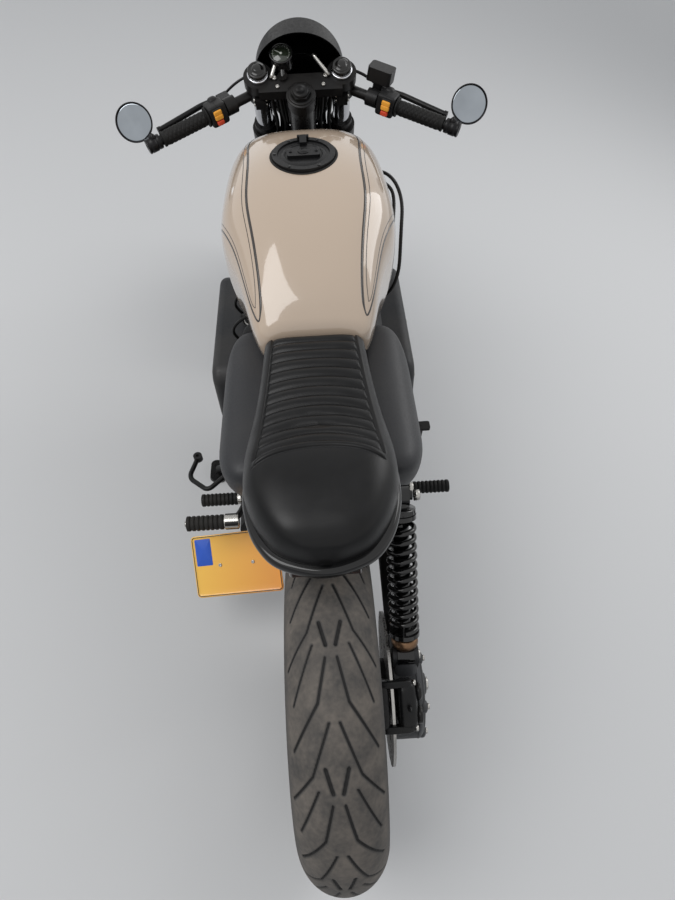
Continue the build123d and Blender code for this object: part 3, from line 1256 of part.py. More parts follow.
# Exhaust: four headers from the underside of the head into one silencer on the left
SILENCER_X = -160.0
SILENCER_Z = 276.0
SILENCER_RADIUS = 50.0
SILENCER_FRONT = 610.0
SILENCER_REAR = 405.0
PIPE_RADIUS = 16.0
PIPE_STEP = 37.0
with BuildPart() as exhaust:
    for k, y in enumerate(PORT_Y):
        lane = SILENCER_Z + PIPE_STEP * (0.5 - k % 2)
        column = SILENCER_X + PIPE_STEP * (0.5 - k // 2)
        port_z = ENGINE_BOTTOM + HEAD_ROOM - FIT
        with BuildLine() as pipe:
            FilletPolyline(
                (-BLOCK_LEFT - HEAD_WIDTH / 2, y, port_z),
                (-BLOCK_LEFT - HEAD_WIDTH / 2, y, port_z - 22),
                (column, y - 30, lane),
                (column, SILENCER_FRONT - 12, lane),
                radius=[18, 26],
            )
        with BuildSketch(start_plane(pipe.line)):
            Circle(PIPE_RADIUS)
        sweep(path=pipe.line)
    with BuildSketch(Plane.XZ.offset(-SILENCER_FRONT)):
        with Locations((SILENCER_X, SILENCER_Z)):
            Circle(SILENCER_RADIUS)
    extrude(amount=SILENCER_FRONT - SILENCER_REAR)
    with BuildSketch(Plane.XZ.offset(-SILENCER_REAR)):
        with Locations((SILENCER_X, SILENCER_Z)):
            Circle(24)
    extrude(amount=15)
    with BuildSketch(Plane.XZ.offset(-SILENCER_REAR + 30)):
        with Locations((SILENCER_X, SILENCER_Z)):
            Circle(20)
    extrude(amount=-120, both=True, mode=Mode.SUBTRACT)
exhaust.part.label = "exhaust"
export_step(parked(exhaust.part), "parts/exhaust.step")

# Swingarm on the right, with the drive shaft inside, and its final drive
EAR_RADIUS = 40.0
ARM_RADIUS = 30.0
DRIVE_RADIUS = 96.0
DRIVE_LEFT = DISC_PLANE + DISC_THICKNESS + 6
DRIVE_RIGHT = 163.0
CLEVIS_WALL = 8.0
CROSS_SETBACK = 52.0
CROSS_LENGTH = 30.0
CROSS_HEIGHT = 56.0
EAR_LEFT = 76.0
with BuildPart() as swingarm:
    pivot = Vector(0, SWINGARM_PIVOT_Y, SWINGARM_PIVOT_Z)
    ear_table = [(-EAR_LEFT, -PIVOT_BOSS_HALF - FIT), (PIVOT_BOSS_HALF + FIT, DRIVE_PLANE + ARM_RADIUS)]
    for ear_left, ear_right in ear_table:
        with BuildSketch(side_plane(ear_left, pivot)):
            Circle(EAR_RADIUS)
            with Locations((-CROSS_SETBACK, 0)):
                Rectangle(CROSS_LENGTH + 4, CROSS_HEIGHT)
        extrude(amount=ear_right - ear_left)
    with BuildSketch(side_plane(-EAR_LEFT, Vector(0, SWINGARM_PIVOT_Y - CROSS_SETBACK, SWINGARM_PIVOT_Z))):
        RectangleRounded(CROSS_LENGTH, CROSS_HEIGHT, 8)
    extrude(amount=DRIVE_PLANE + EAR_LEFT)
    arm_end = Vector(DRIVE_PLANE, DRIVE_RADIUS + 2, REAR_TYRE_RADIUS + 4)
    with BuildLine() as arm:
        Line((DRIVE_PLANE, SWINGARM_PIVOT_Y, SWINGARM_PIVOT_Z), arm_end)
    with BuildSketch(start_plane(arm.line)):
        Circle(ARM_RADIUS)
    sweep(path=arm.line)
    with BuildSketch(side_plane(0, REAR_AXLE)):
        Circle(DRIVE_RADIUS + FIT)
    extrude(amount=220, mode=Mode.SUBTRACT)
swingarm.part.label = "swingarm"
export_step(parked(swingarm.part), "parts/swingarm.step")

with BuildPart() as final_drive:
    with BuildSketch(side_plane(DRIVE_LEFT, REAR_AXLE)):
        Circle(DRIVE_RADIUS)
    extrude(amount=DRIVE_RIGHT - DRIVE_LEFT)
    fillet(final_drive.faces().sort_by(Axis.X)[-1].edges(), radius=18)
    clevis_half = SHOCK_EYE_WIDTH / 2 + FIT
    with BuildSketch(side_plane(SHOCK_X - clevis_half - CLEVIS_WALL, Vector(0, SHOCK_BOTTOM_Y, 0))):
        with Locations((0, SHOCK_BOTTOM_Z)):
            Circle(16)
        with Locations((0, SHOCK_BOTTOM_Z - 40)):
            Rectangle(32, 80)
    extrude(amount=2 * clevis_half + 2 * CLEVIS_WALL)
    with BuildSketch(side_plane(SHOCK_X - clevis_half, Vector(0, SHOCK_BOTTOM_Y, SHOCK_BOTTOM_Z))):
        Circle(18 + FIT)
        with Locations((0, 20)):
            Rectangle(60, 40)
    extrude(amount=2 * clevis_half, mode=Mode.SUBTRACT)
    with BuildSketch(side_plane(SHOCK_X - clevis_half - CLEVIS_WALL, Vector(0, SHOCK_BOTTOM_Y, SHOCK_BOTTOM_Z))):
        Circle(PIN_RADIUS)
    extrude(amount=2 * clevis_half + 2 * CLEVIS_WALL)
    # The axle stub runs left from the housing, through the hub, to its nut
    with BuildSketch(side_plane(-56, REAR_AXLE)):
        Circle(REAR_AXLE_RADIUS)
    extrude(amount=DRIVE_LEFT + 56)
    with BuildSketch(side_plane(-60, REAR_AXLE)):
        RegularPolygon(REAR_AXLE_RADIUS + 10, 6)
    extrude(amount=10)
final_drive.part.label = "final_drive"
export_step(parked(final_drive.part), "parts/final_drive.step")

# Rear caliper: on the final drive's upper rear, straddling the disc
REAR_CALIPER_ANGLE = 122.0
rear_caliper_radius = REAR_DISC_RADIUS - 20
rear_at = math.radians(REAR_CALIPER_ANGLE)
with BuildPart() as rear_caliper:
    with BuildSketch(side_plane(DISC_PLANE - 26, REAR_AXLE)):
        with Locations((rear_caliper_radius * math.cos(rear_at), rear_caliper_radius * math.sin(rear_at))):
            RectangleRounded(52, 92, 12, rotation=REAR_CALIPER_ANGLE)
    extrude(amount=DRIVE_RIGHT - 12 - DISC_PLANE + 26)
    with BuildSketch(side_plane(DISC_PLANE - DISC_GAP, REAR_AXLE)):
        Circle(REAR_DISC_RADIUS + DISC_GAP)
    extrude(amount=DISC_THICKNESS + 2 * DISC_GAP, mode=Mode.SUBTRACT)
    with BuildSketch(side_plane(DRIVE_LEFT - 5, REAR_AXLE)):
        Circle(DRIVE_RADIUS + FIT)
    extrude(amount=100, mode=Mode.SUBTRACT)
    with BuildSketch(side_plane(0, REAR_AXLE)):
        Circle(DRIVE_RADIUS - 6)
    extrude(amount=200, mode=Mode.SUBTRACT)
rear_caliper.part.label = "rear_caliper"
export_step(parked(rear_caliper.part), "parts/rear_caliper.step")

# Shock: eyes, damper body and rod, with the coil spring round them in a node of its own
shock_top = Vector(SHOCK_X, SHOCK_TOP_Y, SHOCK_TOP_Z)
shock_bottom = Vector(SHOCK_X, SHOCK_BOTTOM_Y, SHOCK_BOTTOM_Z)
shock_line = (shock_bottom - shock_top).normalized()
shock_length = (shock_bottom - shock_top).length
SPRING_SEAT = 40.0
SPRING_RADIUS = 22.5
SPRING_WIRE = 4.5
SPRING_TURNS = 12
SPRING_FOOT = 49.3
SPRING_LENGTH = shock_length - SPRING_SEAT - SPRING_FOOT
SEAT_DEPTH = 8.0
EYE_RADIUS = 18.0
DAMPER_RADIUS = 12.0
shock_plane = Plane(origin=shock_top, x_dir=(1, 0, 0), z_dir=shock_line)
with BuildPart() as shock:
    for point in (shock_top, shock_bottom):
        with BuildSketch(side_plane(SHOCK_X - SHOCK_EYE_WIDTH / 2, point)):
            Circle(EYE_RADIUS)
        extrude(amount=SHOCK_EYE_WIDTH)
    with BuildSketch(shock_plane.offset(EYE_RADIUS / 2)):
        Circle(DAMPER_RADIUS)
    extrude(amount=shock_length - EYE_RADIUS)
    for start, depth in ((SPRING_SEAT - SEAT_DEPTH, SEAT_DEPTH), (SPRING_SEAT + SPRING_LENGTH, SEAT_DEPTH)):
        with BuildSketch(shock_plane.offset(start)):
            Circle(SPRING_RADIUS + SPRING_WIRE)
        extrude(amount=depth)
    for point in (shock_top, shock_bottom):
        with BuildSketch(side_plane(SHOCK_X - SHOCK_EYE_WIDTH / 2 - 1, point)):
            Circle(PIN_RADIUS + FIT)
        extrude(amount=SHOCK_EYE_WIDTH + 2, mode=Mode.SUBTRACT)
shock.part.label = "shock"
export_step(parked(shock.part), "parts/shock.step")

coil_start = SPRING_SEAT + SPRING_WIRE + FIT
coil_rise = SPRING_LENGTH - 2 * SPRING_WIRE - 2 * FIT
with BuildPart() as spring:
    coil_centre = shock_top + shock_line * coil_start
    with BuildLine() as coil:
        Helix(coil_rise / SPRING_TURNS, coil_rise, SPRING_RADIUS, center=coil_centre, direction=shock_line)
    with BuildSketch(start_plane(coil.line)):
        Circle(SPRING_WIRE)
    sweep(path=coil.line, is_frenet=True)
spring.part.label = "shock_spring"
export_step(parked(spring.part), "parts/shock_spring.step")

# Footrests with their hangers on the gearbox
HANGER_X = 98.0
HANGER_WALL = 8.0
PEG_Y = 462.0
PEG_Z = 330.0
PEG_RADIUS = 13.0
PEG_START = 196.0
PEG_END = 296.0
with BuildPart() as foot_controls:
    for side in (-1, 1):
        with BuildSketch(side_plane(side * HANGER_X)):
            with BuildLine():
                Polyline((486, 330), (500, 410), (560, 420), (572, 350), (530, 312), close=True)
            make_face()
        extrude(amount=side * HANGER_WALL)
        with BuildLine() as hanger:
            FilletPolyline(
                (side * (HANGER_X + HANGER_WALL - 2), 524, 352),
                (side * 186, 512, 338),
                (side * (PEG_START + 4), PEG_Y, PEG_Z),
                radius=18,
            )
        with BuildSketch(start_plane(hanger.line)):
            Circle(10)
        sweep(path=hanger.line)
        with BuildSketch(side_plane(side * PEG_START, Vector(0, PEG_Y, PEG_Z))):
            Circle(PEG_RADIUS)
        extrude(amount=side * (PEG_END - PEG_START))
    # The gear lever on the left
    with BuildLine() as lever_rod:
        FilletPolyline(
            (-HANGER_X - HANGER_WALL + 2, 552, 352),
            (-216, 544, 346),
            (-284, 488, 334),
            (-334, 532, 330),
            (-318, 584, 332),
            radius=[30, 16, 26],
        )
    with BuildSketch(start_plane(lever_rod.line)):
        Circle(6)
    sweep(path=lever_rod.line)
    with BuildSketch(Plane.XY.offset(324)):
        with Locations((-316, 592)):
            Circle(11)
            Circle(4.5, mode=Mode.SUBTRACT)
    extrude(amount=16)
    # The brake pedal on the right
    with BuildLine() as pedal_rod:
        FilletPolyline(
            (HANGER_X + HANGER_WALL - 2, 548, 345),
            (176, 556, 312),
            (250, 640, 290),
            (262, 676, 300),
            radius=[30, 30],
        )
    with BuildSketch(start_plane(pedal_rod.line)):
        Circle(6)
    sweep(path=pedal_rod.line)
    with BuildSketch(Plane.XY.offset(296)):
        with Locations((266, 676)):
            RectangleRounded(36, 26, 5)
    extrude(amount=9)
foot_controls.part.label = "foot_controls"
export_step(parked(foot_controls.part), "parts/foot_controls.step")

# Side stand: a leg with a foot that lies flat on the ground of the leaned machine. The bracket under
# the engine holds its pivot pin, and the leg folds up and back round the pin.
with BuildPart() as stand:
    with BuildSketch(stand_plane.offset(-BOSS_HALF)):
        Circle(STAND_BOSS)
    extrude(amount=2 * BOSS_HALF)
    with BuildLine() as leg:
        Line(STAND_PIVOT, LEG_END)
    with BuildSketch(start_plane(leg.line)):
        Circle(STAND_RADIUS)
    sweep(path=leg.line)
    with BuildSketch(Plane(origin=STAND_FOOT, x_dir=(0, 1, 0), z_dir=ground_normal)):
        RectangleRounded(76, 46, 18)
    extrude(amount=FOOT_WALL)
    with BuildSketch(stand_plane.offset(-BOSS_HALF - 1)):
        Circle(STAND_PIN + FIT)
    extrude(amount=2 * BOSS_HALF + 2, mode=Mode.SUBTRACT)
stand.part.label = "side_stand"
export_step(parked(stand.part), "parts/side_stand.step")

# Number plate, blank, on a backing plate and a rod from the left hanger
PLATE_CENTRE = Vector(-213, 309, 292)
PLATE_NORMAL = Vector(-0.213, -0.599, 0.772)
PLATE_RIGHT = Vector(0.974, -0.071, 0.214)
PLATE_WIDTH = 210.0
PLATE_HEIGHT = 143.0
PLATE_WALL = 1.5
plate_plane = Plane(origin=PLATE_CENTRE, x_dir=PLATE_RIGHT, z_dir=PLATE_NORMAL)
with BuildPart() as plate:
    with BuildSketch(plate_plane):
        RectangleRounded(PLATE_WIDTH, PLATE_HEIGHT, 8)
    extrude(amount=-PLATE_WALL)
plate.part.label = "number_plate"
export_step(parked(plate.part), "parts/number_plate.step")

with BuildPart() as plate_bracket:
    with BuildSketch(plate_plane.offset(-PLATE_WALL - FIT)):
        RectangleRounded(PLATE_WIDTH - 16, PLATE_HEIGHT - 16, 8)
    extrude(amount=-3)
    with BuildLine() as plate_rod:
        FilletPolyline(
            (-HANGER_X - HANGER_WALL - FIT, 510, 396),
            (-132, 490, 384),
            (-176, 372, 322),
            PLATE_CENTRE - plate_plane.z_dir * 12,
            radius=[12, 30],
        )
    with BuildSketch(start_plane(plate_rod.line)):
        Circle(6)
    sweep(path=plate_rod.line)
    with BuildSketch(plate_plane.offset(-PLATE_WALL - FIT - 3)):
        Circle(22)
    extrude(amount=-14)
    with BuildSketch(side_plane(-HANGER_X - HANGER_WALL - FIT)):
        with Locations((510, 396)):
            Rectangle(60, 60)
    extrude(amount=20, mode=Mode.SUBTRACT)
plate_bracket.part.label = "plate_bracket"
export_step(parked(plate_bracket.part), "parts/plate_bracket.step")

# Pillion footrest on the left, on its own rod, with a rubber sleeve
PILLION_Y = 343.0
PILLION_Z = 420.0
with BuildPart() as pillion:
    with BuildLine() as pillion_rod:
        FilletPolyline(
            (-HANGER_X - HANGER_WALL, 548, 396),
            (-128, 540, 400),
            (-186, PILLION_Y + 26, PILLION_Z - 2),
            (-200, PILLION_Y, PILLION_Z),
            radius=[16, 12],
        )
    with BuildSketch(start_plane(pillion_rod.line)):
        Circle(7)
    sweep(path=pillion_rod.line)
    with BuildSketch(side_plane(-190, Vector(0, PILLION_Y, PILLION_Z))):
        RectangleRounded(30, 26, 6)
    extrude(amount=-28)
    with BuildSketch(side_plane(-218, Vector(0, PILLION_Y, PILLION_Z))):
        Circle(14)
    extrude(amount=-82)
    with BuildSketch(side_plane(-HANGER_X - HANGER_WALL - FIT)):
        with Locations((548, 396)):
            Rectangle(60, 60)
    extrude(amount=20, mode=Mode.SUBTRACT)
pillion.part.label = "pillion_footrest"
export_step(parked(pillion.part), "parts/pillion_footrest.step")
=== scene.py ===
# %% [markdown]
# # A cafe racer, seen from above its tail
#
# The solid parts of this motorcycle come from a CAD model as a fixed frame. This lesson dresses
# them: it gives every part a finish, and it builds the pieces that need a finer skin than a solid
# has, such as the painted tank, the stitched seat and the tyres.
# Lengths are in metres, and long tables are in millimetres. The machine leans on its side stand, so
# shapes are worked out upright and then carried into the leaning frame by one small function.
# %% Open the frame
import json
import math

import bmesh
import bpy
import numpy as np
from mathutils import Matrix, Vector


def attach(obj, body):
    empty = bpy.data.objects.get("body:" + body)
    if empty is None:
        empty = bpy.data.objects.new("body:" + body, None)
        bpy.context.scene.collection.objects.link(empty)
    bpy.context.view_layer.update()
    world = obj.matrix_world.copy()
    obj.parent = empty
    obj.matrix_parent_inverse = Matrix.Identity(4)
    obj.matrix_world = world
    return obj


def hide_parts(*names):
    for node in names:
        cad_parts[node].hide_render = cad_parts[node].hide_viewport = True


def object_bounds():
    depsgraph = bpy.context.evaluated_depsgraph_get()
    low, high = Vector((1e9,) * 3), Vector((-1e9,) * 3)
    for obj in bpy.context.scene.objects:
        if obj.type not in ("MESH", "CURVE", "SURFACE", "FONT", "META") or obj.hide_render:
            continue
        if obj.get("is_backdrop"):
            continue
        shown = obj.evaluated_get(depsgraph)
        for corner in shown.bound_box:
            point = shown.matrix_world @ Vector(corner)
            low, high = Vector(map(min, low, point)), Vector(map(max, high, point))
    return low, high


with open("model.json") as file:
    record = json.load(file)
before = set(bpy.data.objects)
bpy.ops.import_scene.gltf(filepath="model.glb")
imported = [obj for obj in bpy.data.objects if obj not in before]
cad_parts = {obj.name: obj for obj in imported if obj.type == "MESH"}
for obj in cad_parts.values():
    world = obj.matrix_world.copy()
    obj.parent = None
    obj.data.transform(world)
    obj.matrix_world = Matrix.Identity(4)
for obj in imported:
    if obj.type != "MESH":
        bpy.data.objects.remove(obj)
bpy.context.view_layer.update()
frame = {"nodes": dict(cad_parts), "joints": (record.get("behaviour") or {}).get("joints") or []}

print("nodes:", len(frame["nodes"]))

# %% [markdown]
# ## From upright to leaning
#
# Two wheel axles fix where the machine stands. The rear one gives the direction to the right, the
# line between the two gives the direction forwards, and what is square to both points up along
# the leaning machine. With the zero point under the rear axle, every later number reads as it
# would on a machine held upright.
# %% Find the leaning axes
joints = {j["name"]: j for j in frame["joints"]}
REAR_RADIUS = 0.333
FRONT_RADIUS = 0.318
rear_axle = np.array(joints["rear_wheel_spin"]["pos_m"])
front_axle = np.array(joints["front_wheel_spin"]["pos_m"])
RIGHT = np.array(joints["rear_wheel_spin"]["axis"])
span = front_axle - rear_axle
axle_drop = REAR_RADIUS - FRONT_RADIUS
wheelbase = math.sqrt(span @ span - axle_drop**2)
square = np.cross(RIGHT, span)
FORWARD = (wheelbase * span + axle_drop * square) / (wheelbase**2 + axle_drop**2)
UP = np.cross(RIGHT, FORWARD)
BASIS = np.array([RIGHT, FORWARD, UP])
GROUND = rear_axle - REAR_RADIUS * UP


def parked(points):
    """Carries upright points to the leaning machine: each number runs along its own leaning axis."""
    return GROUND + np.asarray(points, float) @ BASIS


steer_axis = BASIS @ np.array(joints["steering_turn"]["axis"])
steer_base = BASIS @ (np.array(joints["steering_turn"]["pos_m"]) - GROUND)
lean = math.degrees(math.asin(UP[0]))
print("wheelbase", round(wheelbase, 3), "lean", round(lean, 2))

# %% [markdown]
# ## One way to make a mesh
#
# Almost every piece here is a grid of points that a formula gives all at once. The same few lines
# turn such a grid into faces. Each row of a grid closes on itself, as a tube's rings do. The rows may
# close on each other too, as a tyre's do, and otherwise the two ends are capped. Several grids can go
# into one piece, which keeps a row of screws or ribs together.
# %% Turn grids into a piece
def grid_faces(rows, columns, closed_rows=False):
    """Four-cornered faces between neighbours in a grid, as an array of point numbers."""
    r, c = np.meshgrid(np.arange(rows if closed_rows else rows - 1), np.arange(columns), indexing="ij")
    r2, c2 = (r + 1) % rows, (c + 1) % columns
    corners = [r * columns + c, r2 * columns + c, r2 * columns + c2, r * columns + c2]
    return np.stack(corners, -1).reshape(-1, 4)


def patch(points, closed_rows=False, capped=True):
    """A grid of upright points, and how it is closed where its rows begin and end."""
    return np.asarray(points, float), closed_rows, capped and not closed_rows


def piece(name, shapes, body, finish, replaces=(), values=None, smooth=True, dropped=None):
    """Joins shapes into one mesh that rides on a body. It fills a slot and stands for the nodes that
    it replaces. Values are numbers kept at each point. Faces with a dropped point are left out,
    which makes a hole."""
    vertices, faces, first = [], [], 0
    for shape in shapes:
        points, closed_rows, capped = shape if isinstance(shape, tuple) else patch(shape)
        rows, columns = points.shape[:2]
        vertices.append(parked(points.reshape(-1, 3)))
        cells = grid_faces(rows, columns, closed_rows) + first
        if dropped is not None:
            cells = cells[~dropped.ravel()[cells].any(-1)]
        faces += cells.tolist()
        if capped:
            faces.append((np.arange(columns)[::-1] + first).tolist())
            faces.append((np.arange(columns) + first + (rows - 1) * columns).tolist())
        first += rows * columns
    mesh = bpy.data.meshes.new(name)
    mesh.from_pydata(np.concatenate(vertices).tolist(), [], faces)
    for label, numbers in (values or {}).items():
        kept = mesh.attributes.new(label, "FLOAT", "POINT")
        kept.data.foreach_set("value", np.asarray(numbers, np.float32).ravel())
    turned = bmesh.new()
    turned.from_mesh(mesh)
    bmesh.ops.remove_doubles(turned, verts=turned.verts, dist=1e-7)
    loose = [v for v in turned.verts if not v.link_faces]
    bmesh.ops.delete(turned, geom=loose, context="VERTS")
    bmesh.ops.recalc_face_normals(turned, faces=turned.faces)
    turned.to_mesh(mesh)
    turned.free()
    mesh.shade_smooth() if smooth else mesh.shade_flat()
    made = bpy.data.objects.new(name, mesh)
    bpy.context.scene.collection.objects.link(made)
    mesh.materials.append(finishes[finish])
    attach(made, body)
    if replaces:
        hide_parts(*replaces)
    return made


print("faces of a closed grid of 3 rows and 4 columns:", len(grid_faces(3, 4, closed_rows=True)))

# %% [markdown]
# ## Directions and circles
#
# Most shapes are set out from a direction and two more that are square to it, so these come first.
# Tables are easier to read in millimetres, and a full turn is always cut into even steps.
# %% Small helpers for places
def unit(v):
    """A vector's direction, with its length taken out."""
    v = np.asarray(v, float)
    return v / np.linalg.norm(v, axis=-1, keepdims=True)


def frame_of(axis):
    """Two directions square to an axis and to each other, the second as near to upwards as it gets."""
    axis = unit(axis)
    across = unit(np.cross((1, 0, 0) if abs(axis[2]) > 0.999 else (0, 0, 1), axis))
    return across, np.cross(axis, across)


def mm(*rows):
    """A table written in millimetres, as metres."""
    return np.array(rows) / 1000


def circle(count):
    """Angles spread evenly over one full turn."""
    return np.linspace(0, 2 * np.pi, count, endpoint=False)


print("square to the steering axis:", [np.round(v, 2).tolist() for v in frame_of(steer_axis)])

# %% [markdown]
# ## Tubes and turned shapes
#
# A tube is a circle carried along a path. A lathe turns an outline round an axis, as for a grip,
# a cap or a screw. A closed outline turned in this way leaves a ring.
# %% Tubes, lathes and hoops
def tube(path, radius, sides):
    """At each point of a path: centre + radius x (cos a x across + sin a x up), with a full turn of a."""
    path = np.asarray(path, float)
    heading = unit(np.gradient(path, axis=0))
    across = unit(np.cross((0, 0, 1), heading))
    up = np.cross(heading, across)
    a = circle(sides)
    radius = np.broadcast_to(radius, len(path))[:, None, None]
    ring = np.cos(a)[None, :, None] * across[:, None] + np.sin(a)[None, :, None] * up[:, None]
    return path[:, None] + radius * ring


def lathe(outline, centre, axis, sides):
    """Turns an outline of (radius, distance along the axis) pairs round the axis through centre."""
    outline = np.asarray(outline, float)
    across, up = frame_of(axis)
    a = circle(sides)
    ring = np.cos(a)[:, None] * across + np.sin(a)[:, None] * up
    along = outline[:, 1, None] * unit(axis)
    return np.asarray(centre) + along[:, None] + outline[:, 0, None, None] * ring[None]


def hoop(outline, centre, axis, sides):
    """A turned ring: its outline is a closed loop, so a hole is left through its middle."""
    return patch(lathe(outline, centre, axis, sides), closed_rows=True)


short_tube = tube([(0, 0, 0), (0, 1, 0), (0, 2, 0)], 0.1, 8)
print("rings, sides and coordinates of a short tube:", short_tube.shape)

# %% [markdown]
# ## Soft boxes and soft corners
#
# A pillow is a box with round edges: a sphere whose sines and cosines are raised to a small power,
# so that its faces flatten and its corners stay soft. An outline drawn with sharp corners gets
# small curves in their place, because a turned or moulded edge is never quite sharp.
# %% Pillows and rounded outlines
def pillow(centre, half, axes=np.eye(3), power=0.35, rows=14, columns=28):
    """A soft box: half sizes x (cos b cos a, cos b sin a, sin b), each sine and cosine raised to power."""
    a = circle(columns)[None]
    b = np.linspace(-np.pi / 2 + 0.02, np.pi / 2 - 0.02, rows)[:, None]

    def soft(x):
        return np.sign(x) * np.abs(x) ** power

    x = soft(np.cos(b)) * soft(np.cos(a))
    y = soft(np.cos(b)) * soft(np.sin(a))
    z = soft(np.sin(b)) * np.ones_like(a)
    local = np.stack([x, y, z], -1) * np.asarray(half)
    return np.asarray(centre) + local @ np.asarray(axes, float)


def rounded(outline, radius, steps=4):
    """Rounds each inner corner of an outline with a small quadratic curve through its neighbourhood."""
    p = np.asarray(outline, float)
    before, after = p[:-2] - p[1:-1], p[2:] - p[1:-1]
    reach_before = np.minimum(radius / np.linalg.norm(before, axis=1), 0.45)[:, None]
    reach_after = np.minimum(radius / np.linalg.norm(after, axis=1), 0.45)[:, None]
    start, end = p[1:-1] + before * reach_before, p[1:-1] + after * reach_after
    t = np.linspace(0, 1, steps + 1)[None, :, None]
    bend = (1 - t) ** 2 * start[:, None] + 2 * t * (1 - t) * p[1:-1, None] + t**2 * end[:, None]
    return np.concatenate([p[:1], bend.reshape(-1, p.shape[1]), p[-1:]])


print("points of a corner before and after rounding:", 3, len(rounded([(0, 0), (1, 0), (1, 1)], 0.2)))

# %% [markdown]
# ## Smooth lines through a few places
#
# A cable, a tank's section or a seat's edge is given by a few measured places. A natural cubic
# spline joins them, as a thin strip of wood does that is bent round pins.
# %% Splines and distances along a line
def spline(knots, values, at):
    """A natural cubic spline through values at knots: smooth, with no bend at its two ends."""
    knots, values, at = (np.asarray(v, float) for v in (knots, values, at))
    h = np.diff(knots)
    n = len(knots)
    system, load = np.eye(n), np.zeros(n)
    inner = np.arange(1, n - 1)
    system[inner, inner - 1] = h[:-1]
    system[inner, inner] = 2 * (h[:-1] + h[1:])
    system[inner, inner + 1] = h[1:]
    slope = np.diff(values) / h
    load[1:-1] = 6 * np.diff(slope)
    bend = np.linalg.solve(system, load)
    i = np.clip(np.searchsorted(knots, at) - 1, 0, n - 2)
    a, b = knots[i + 1] - at, at - knots[i]
    return (
        (bend[i] * a**3 + bend[i + 1] * b**3) / (6 * h[i])
        + (values[i] / h[i] - bend[i] * h[i] / 6) * a
        + (values[i + 1] / h[i] - bend[i + 1] * h[i] / 6) * b
    )


def measured(points):
    """The distance run along a line up to each of its points."""
    return np.concatenate([[0], np.cumsum(np.linalg.norm(np.diff(points, axis=0), axis=1))])


def line_at(points, run, at):
    """Points on a line at given distances along it, straight between its own points."""
    return np.stack([np.interp(at, run, points[:, k]) for k in range(points.shape[1])], -1)


def smooth_path(points, count):
    """A smooth path through a few points: each coordinate is a cubic spline over the distance run."""
    points = np.asarray(points, float)
    run = measured(points)
    at = np.linspace(0, run[-1], count)
    return np.stack([spline(run, points[:, k], at) for k in range(points.shape[1])], -1)


print("halfway up a spline from 0 to 1:", round(float(spline([0, 1, 2], [0, 0.5, 1], 1)), 2))

# %% [markdown]
# ## Finishes
#
# A painted or moulded surface is never one flat colour. Each finish starts from a plain shader
# and adds what the real one has: a slow change of tone, fine grain in its roughness, a small
# relief, and dust where it would settle.
# %% The start of a finish
finishes = {}


def shade(red, green, blue):
    """A screen colour from 0 to 255 as the light it stands for."""
    c = np.array([red, green, blue]) / 255
    return tuple(np.where(c <= 0.04045, c / 12.92, ((c + 0.055) / 1.055) ** 2.4))


def shader_of(made):
    """A finish's own shader."""
    return made.node_tree.nodes["Principled BSDF"]


def plain(name, colour, roughness, metallic=0.0, coat=0.0, specular=0.5):
    """A shader with its fixed values set on its own sockets, kept in the table of finishes."""
    made = finishes[name] = bpy.data.materials.new(name)
    made.use_nodes = True
    values = {
        "Base Color": (*colour, 1), "Roughness": roughness, "Metallic": metallic,
        "Coat Weight": coat, "Coat Roughness": 0.04, "Specular IOR Level": specular,
    }
    for socket, value in values.items():
        shader_of(made).inputs[socket].default_value = value
    return made


print("middle grey on a screen is this much light:", round(float(shade(128, 128, 128)[0]), 3))

# %% [markdown]
# ## Patterns and what is made of them
#
# The patterns read the object's own coordinates, so they stay with the piece when a joint moves. A
# pattern gives a value from 0 to 1 at each place. It is stretched or worked on by other nodes until
# it says how much of something lies there.
# %% Patterns as values
def pattern(made, kind="Noise", scale=40.0, detail=3.0):
    """A noise or a cell pattern over the object's own coordinates, as a value from 0 to 1."""
    nodes = made.node_tree.nodes
    place = nodes.new("ShaderNodeTexCoord")
    texture = nodes.new(f"ShaderNodeTex{kind}")
    texture.inputs["Scale"].default_value = scale
    if kind == "Noise":
        texture.inputs["Detail"].default_value = detail
    made.node_tree.links.new(place.outputs["Object"], texture.inputs["Vector"])
    return texture.outputs["Fac" if kind == "Noise" else "Distance"]


def spread(made, value, low, high, out_low=0.0, out_high=1.0):
    """Stretches the part of a value between low and high to between out_low and out_high."""
    node = made.node_tree.nodes.new("ShaderNodeMapRange")
    for socket, number in zip(("From Min", "From Max", "To Min", "To Max"), (low, high, out_low, out_high)):
        node.inputs[socket].default_value = number
    made.node_tree.links.new(value, node.inputs["Value"])
    return node.outputs["Result"]


def maths(tree, operation, *values):
    """A node that works out an operation on sockets or numbers."""
    node = tree.nodes.new("ShaderNodeMath")
    node.operation = operation
    for socket, value in zip(node.inputs, values):
        if isinstance(value, float):
            socket.default_value = value
        else:
            tree.links.new(value, socket)
    return node.outputs[0]


print("finishes before the first call:", len(finishes))

# %% [markdown]
# ## What a value may change
#
# A value can move the colour between two tones, make the surface smoother or rougher, or raise it
# a little. Real surfaces do all three at once, and mostly by the same pattern.
# %% Tone, roughness and relief
def tint(made, factor, first, second):
    """Colours the shader between two tones by a factor."""
    mix = made.node_tree.nodes.new("ShaderNodeMix")
    mix.data_type = "RGBA"
    mix.inputs["A"].default_value = (*first, 1)
    mix.inputs["B"].default_value = (*second, 1)
    made.node_tree.links.new(factor, mix.inputs["Factor"])
    made.node_tree.links.new(mix.outputs["Result"], shader_of(made).inputs["Base Color"])
    return mix


def roughen(made, value, low, high):
    """Lets a value from 0 to 1 set the roughness between low and high."""
    made.node_tree.links.new(spread(made, value, 0.3, 0.7, low, high), shader_of(made).inputs["Roughness"])


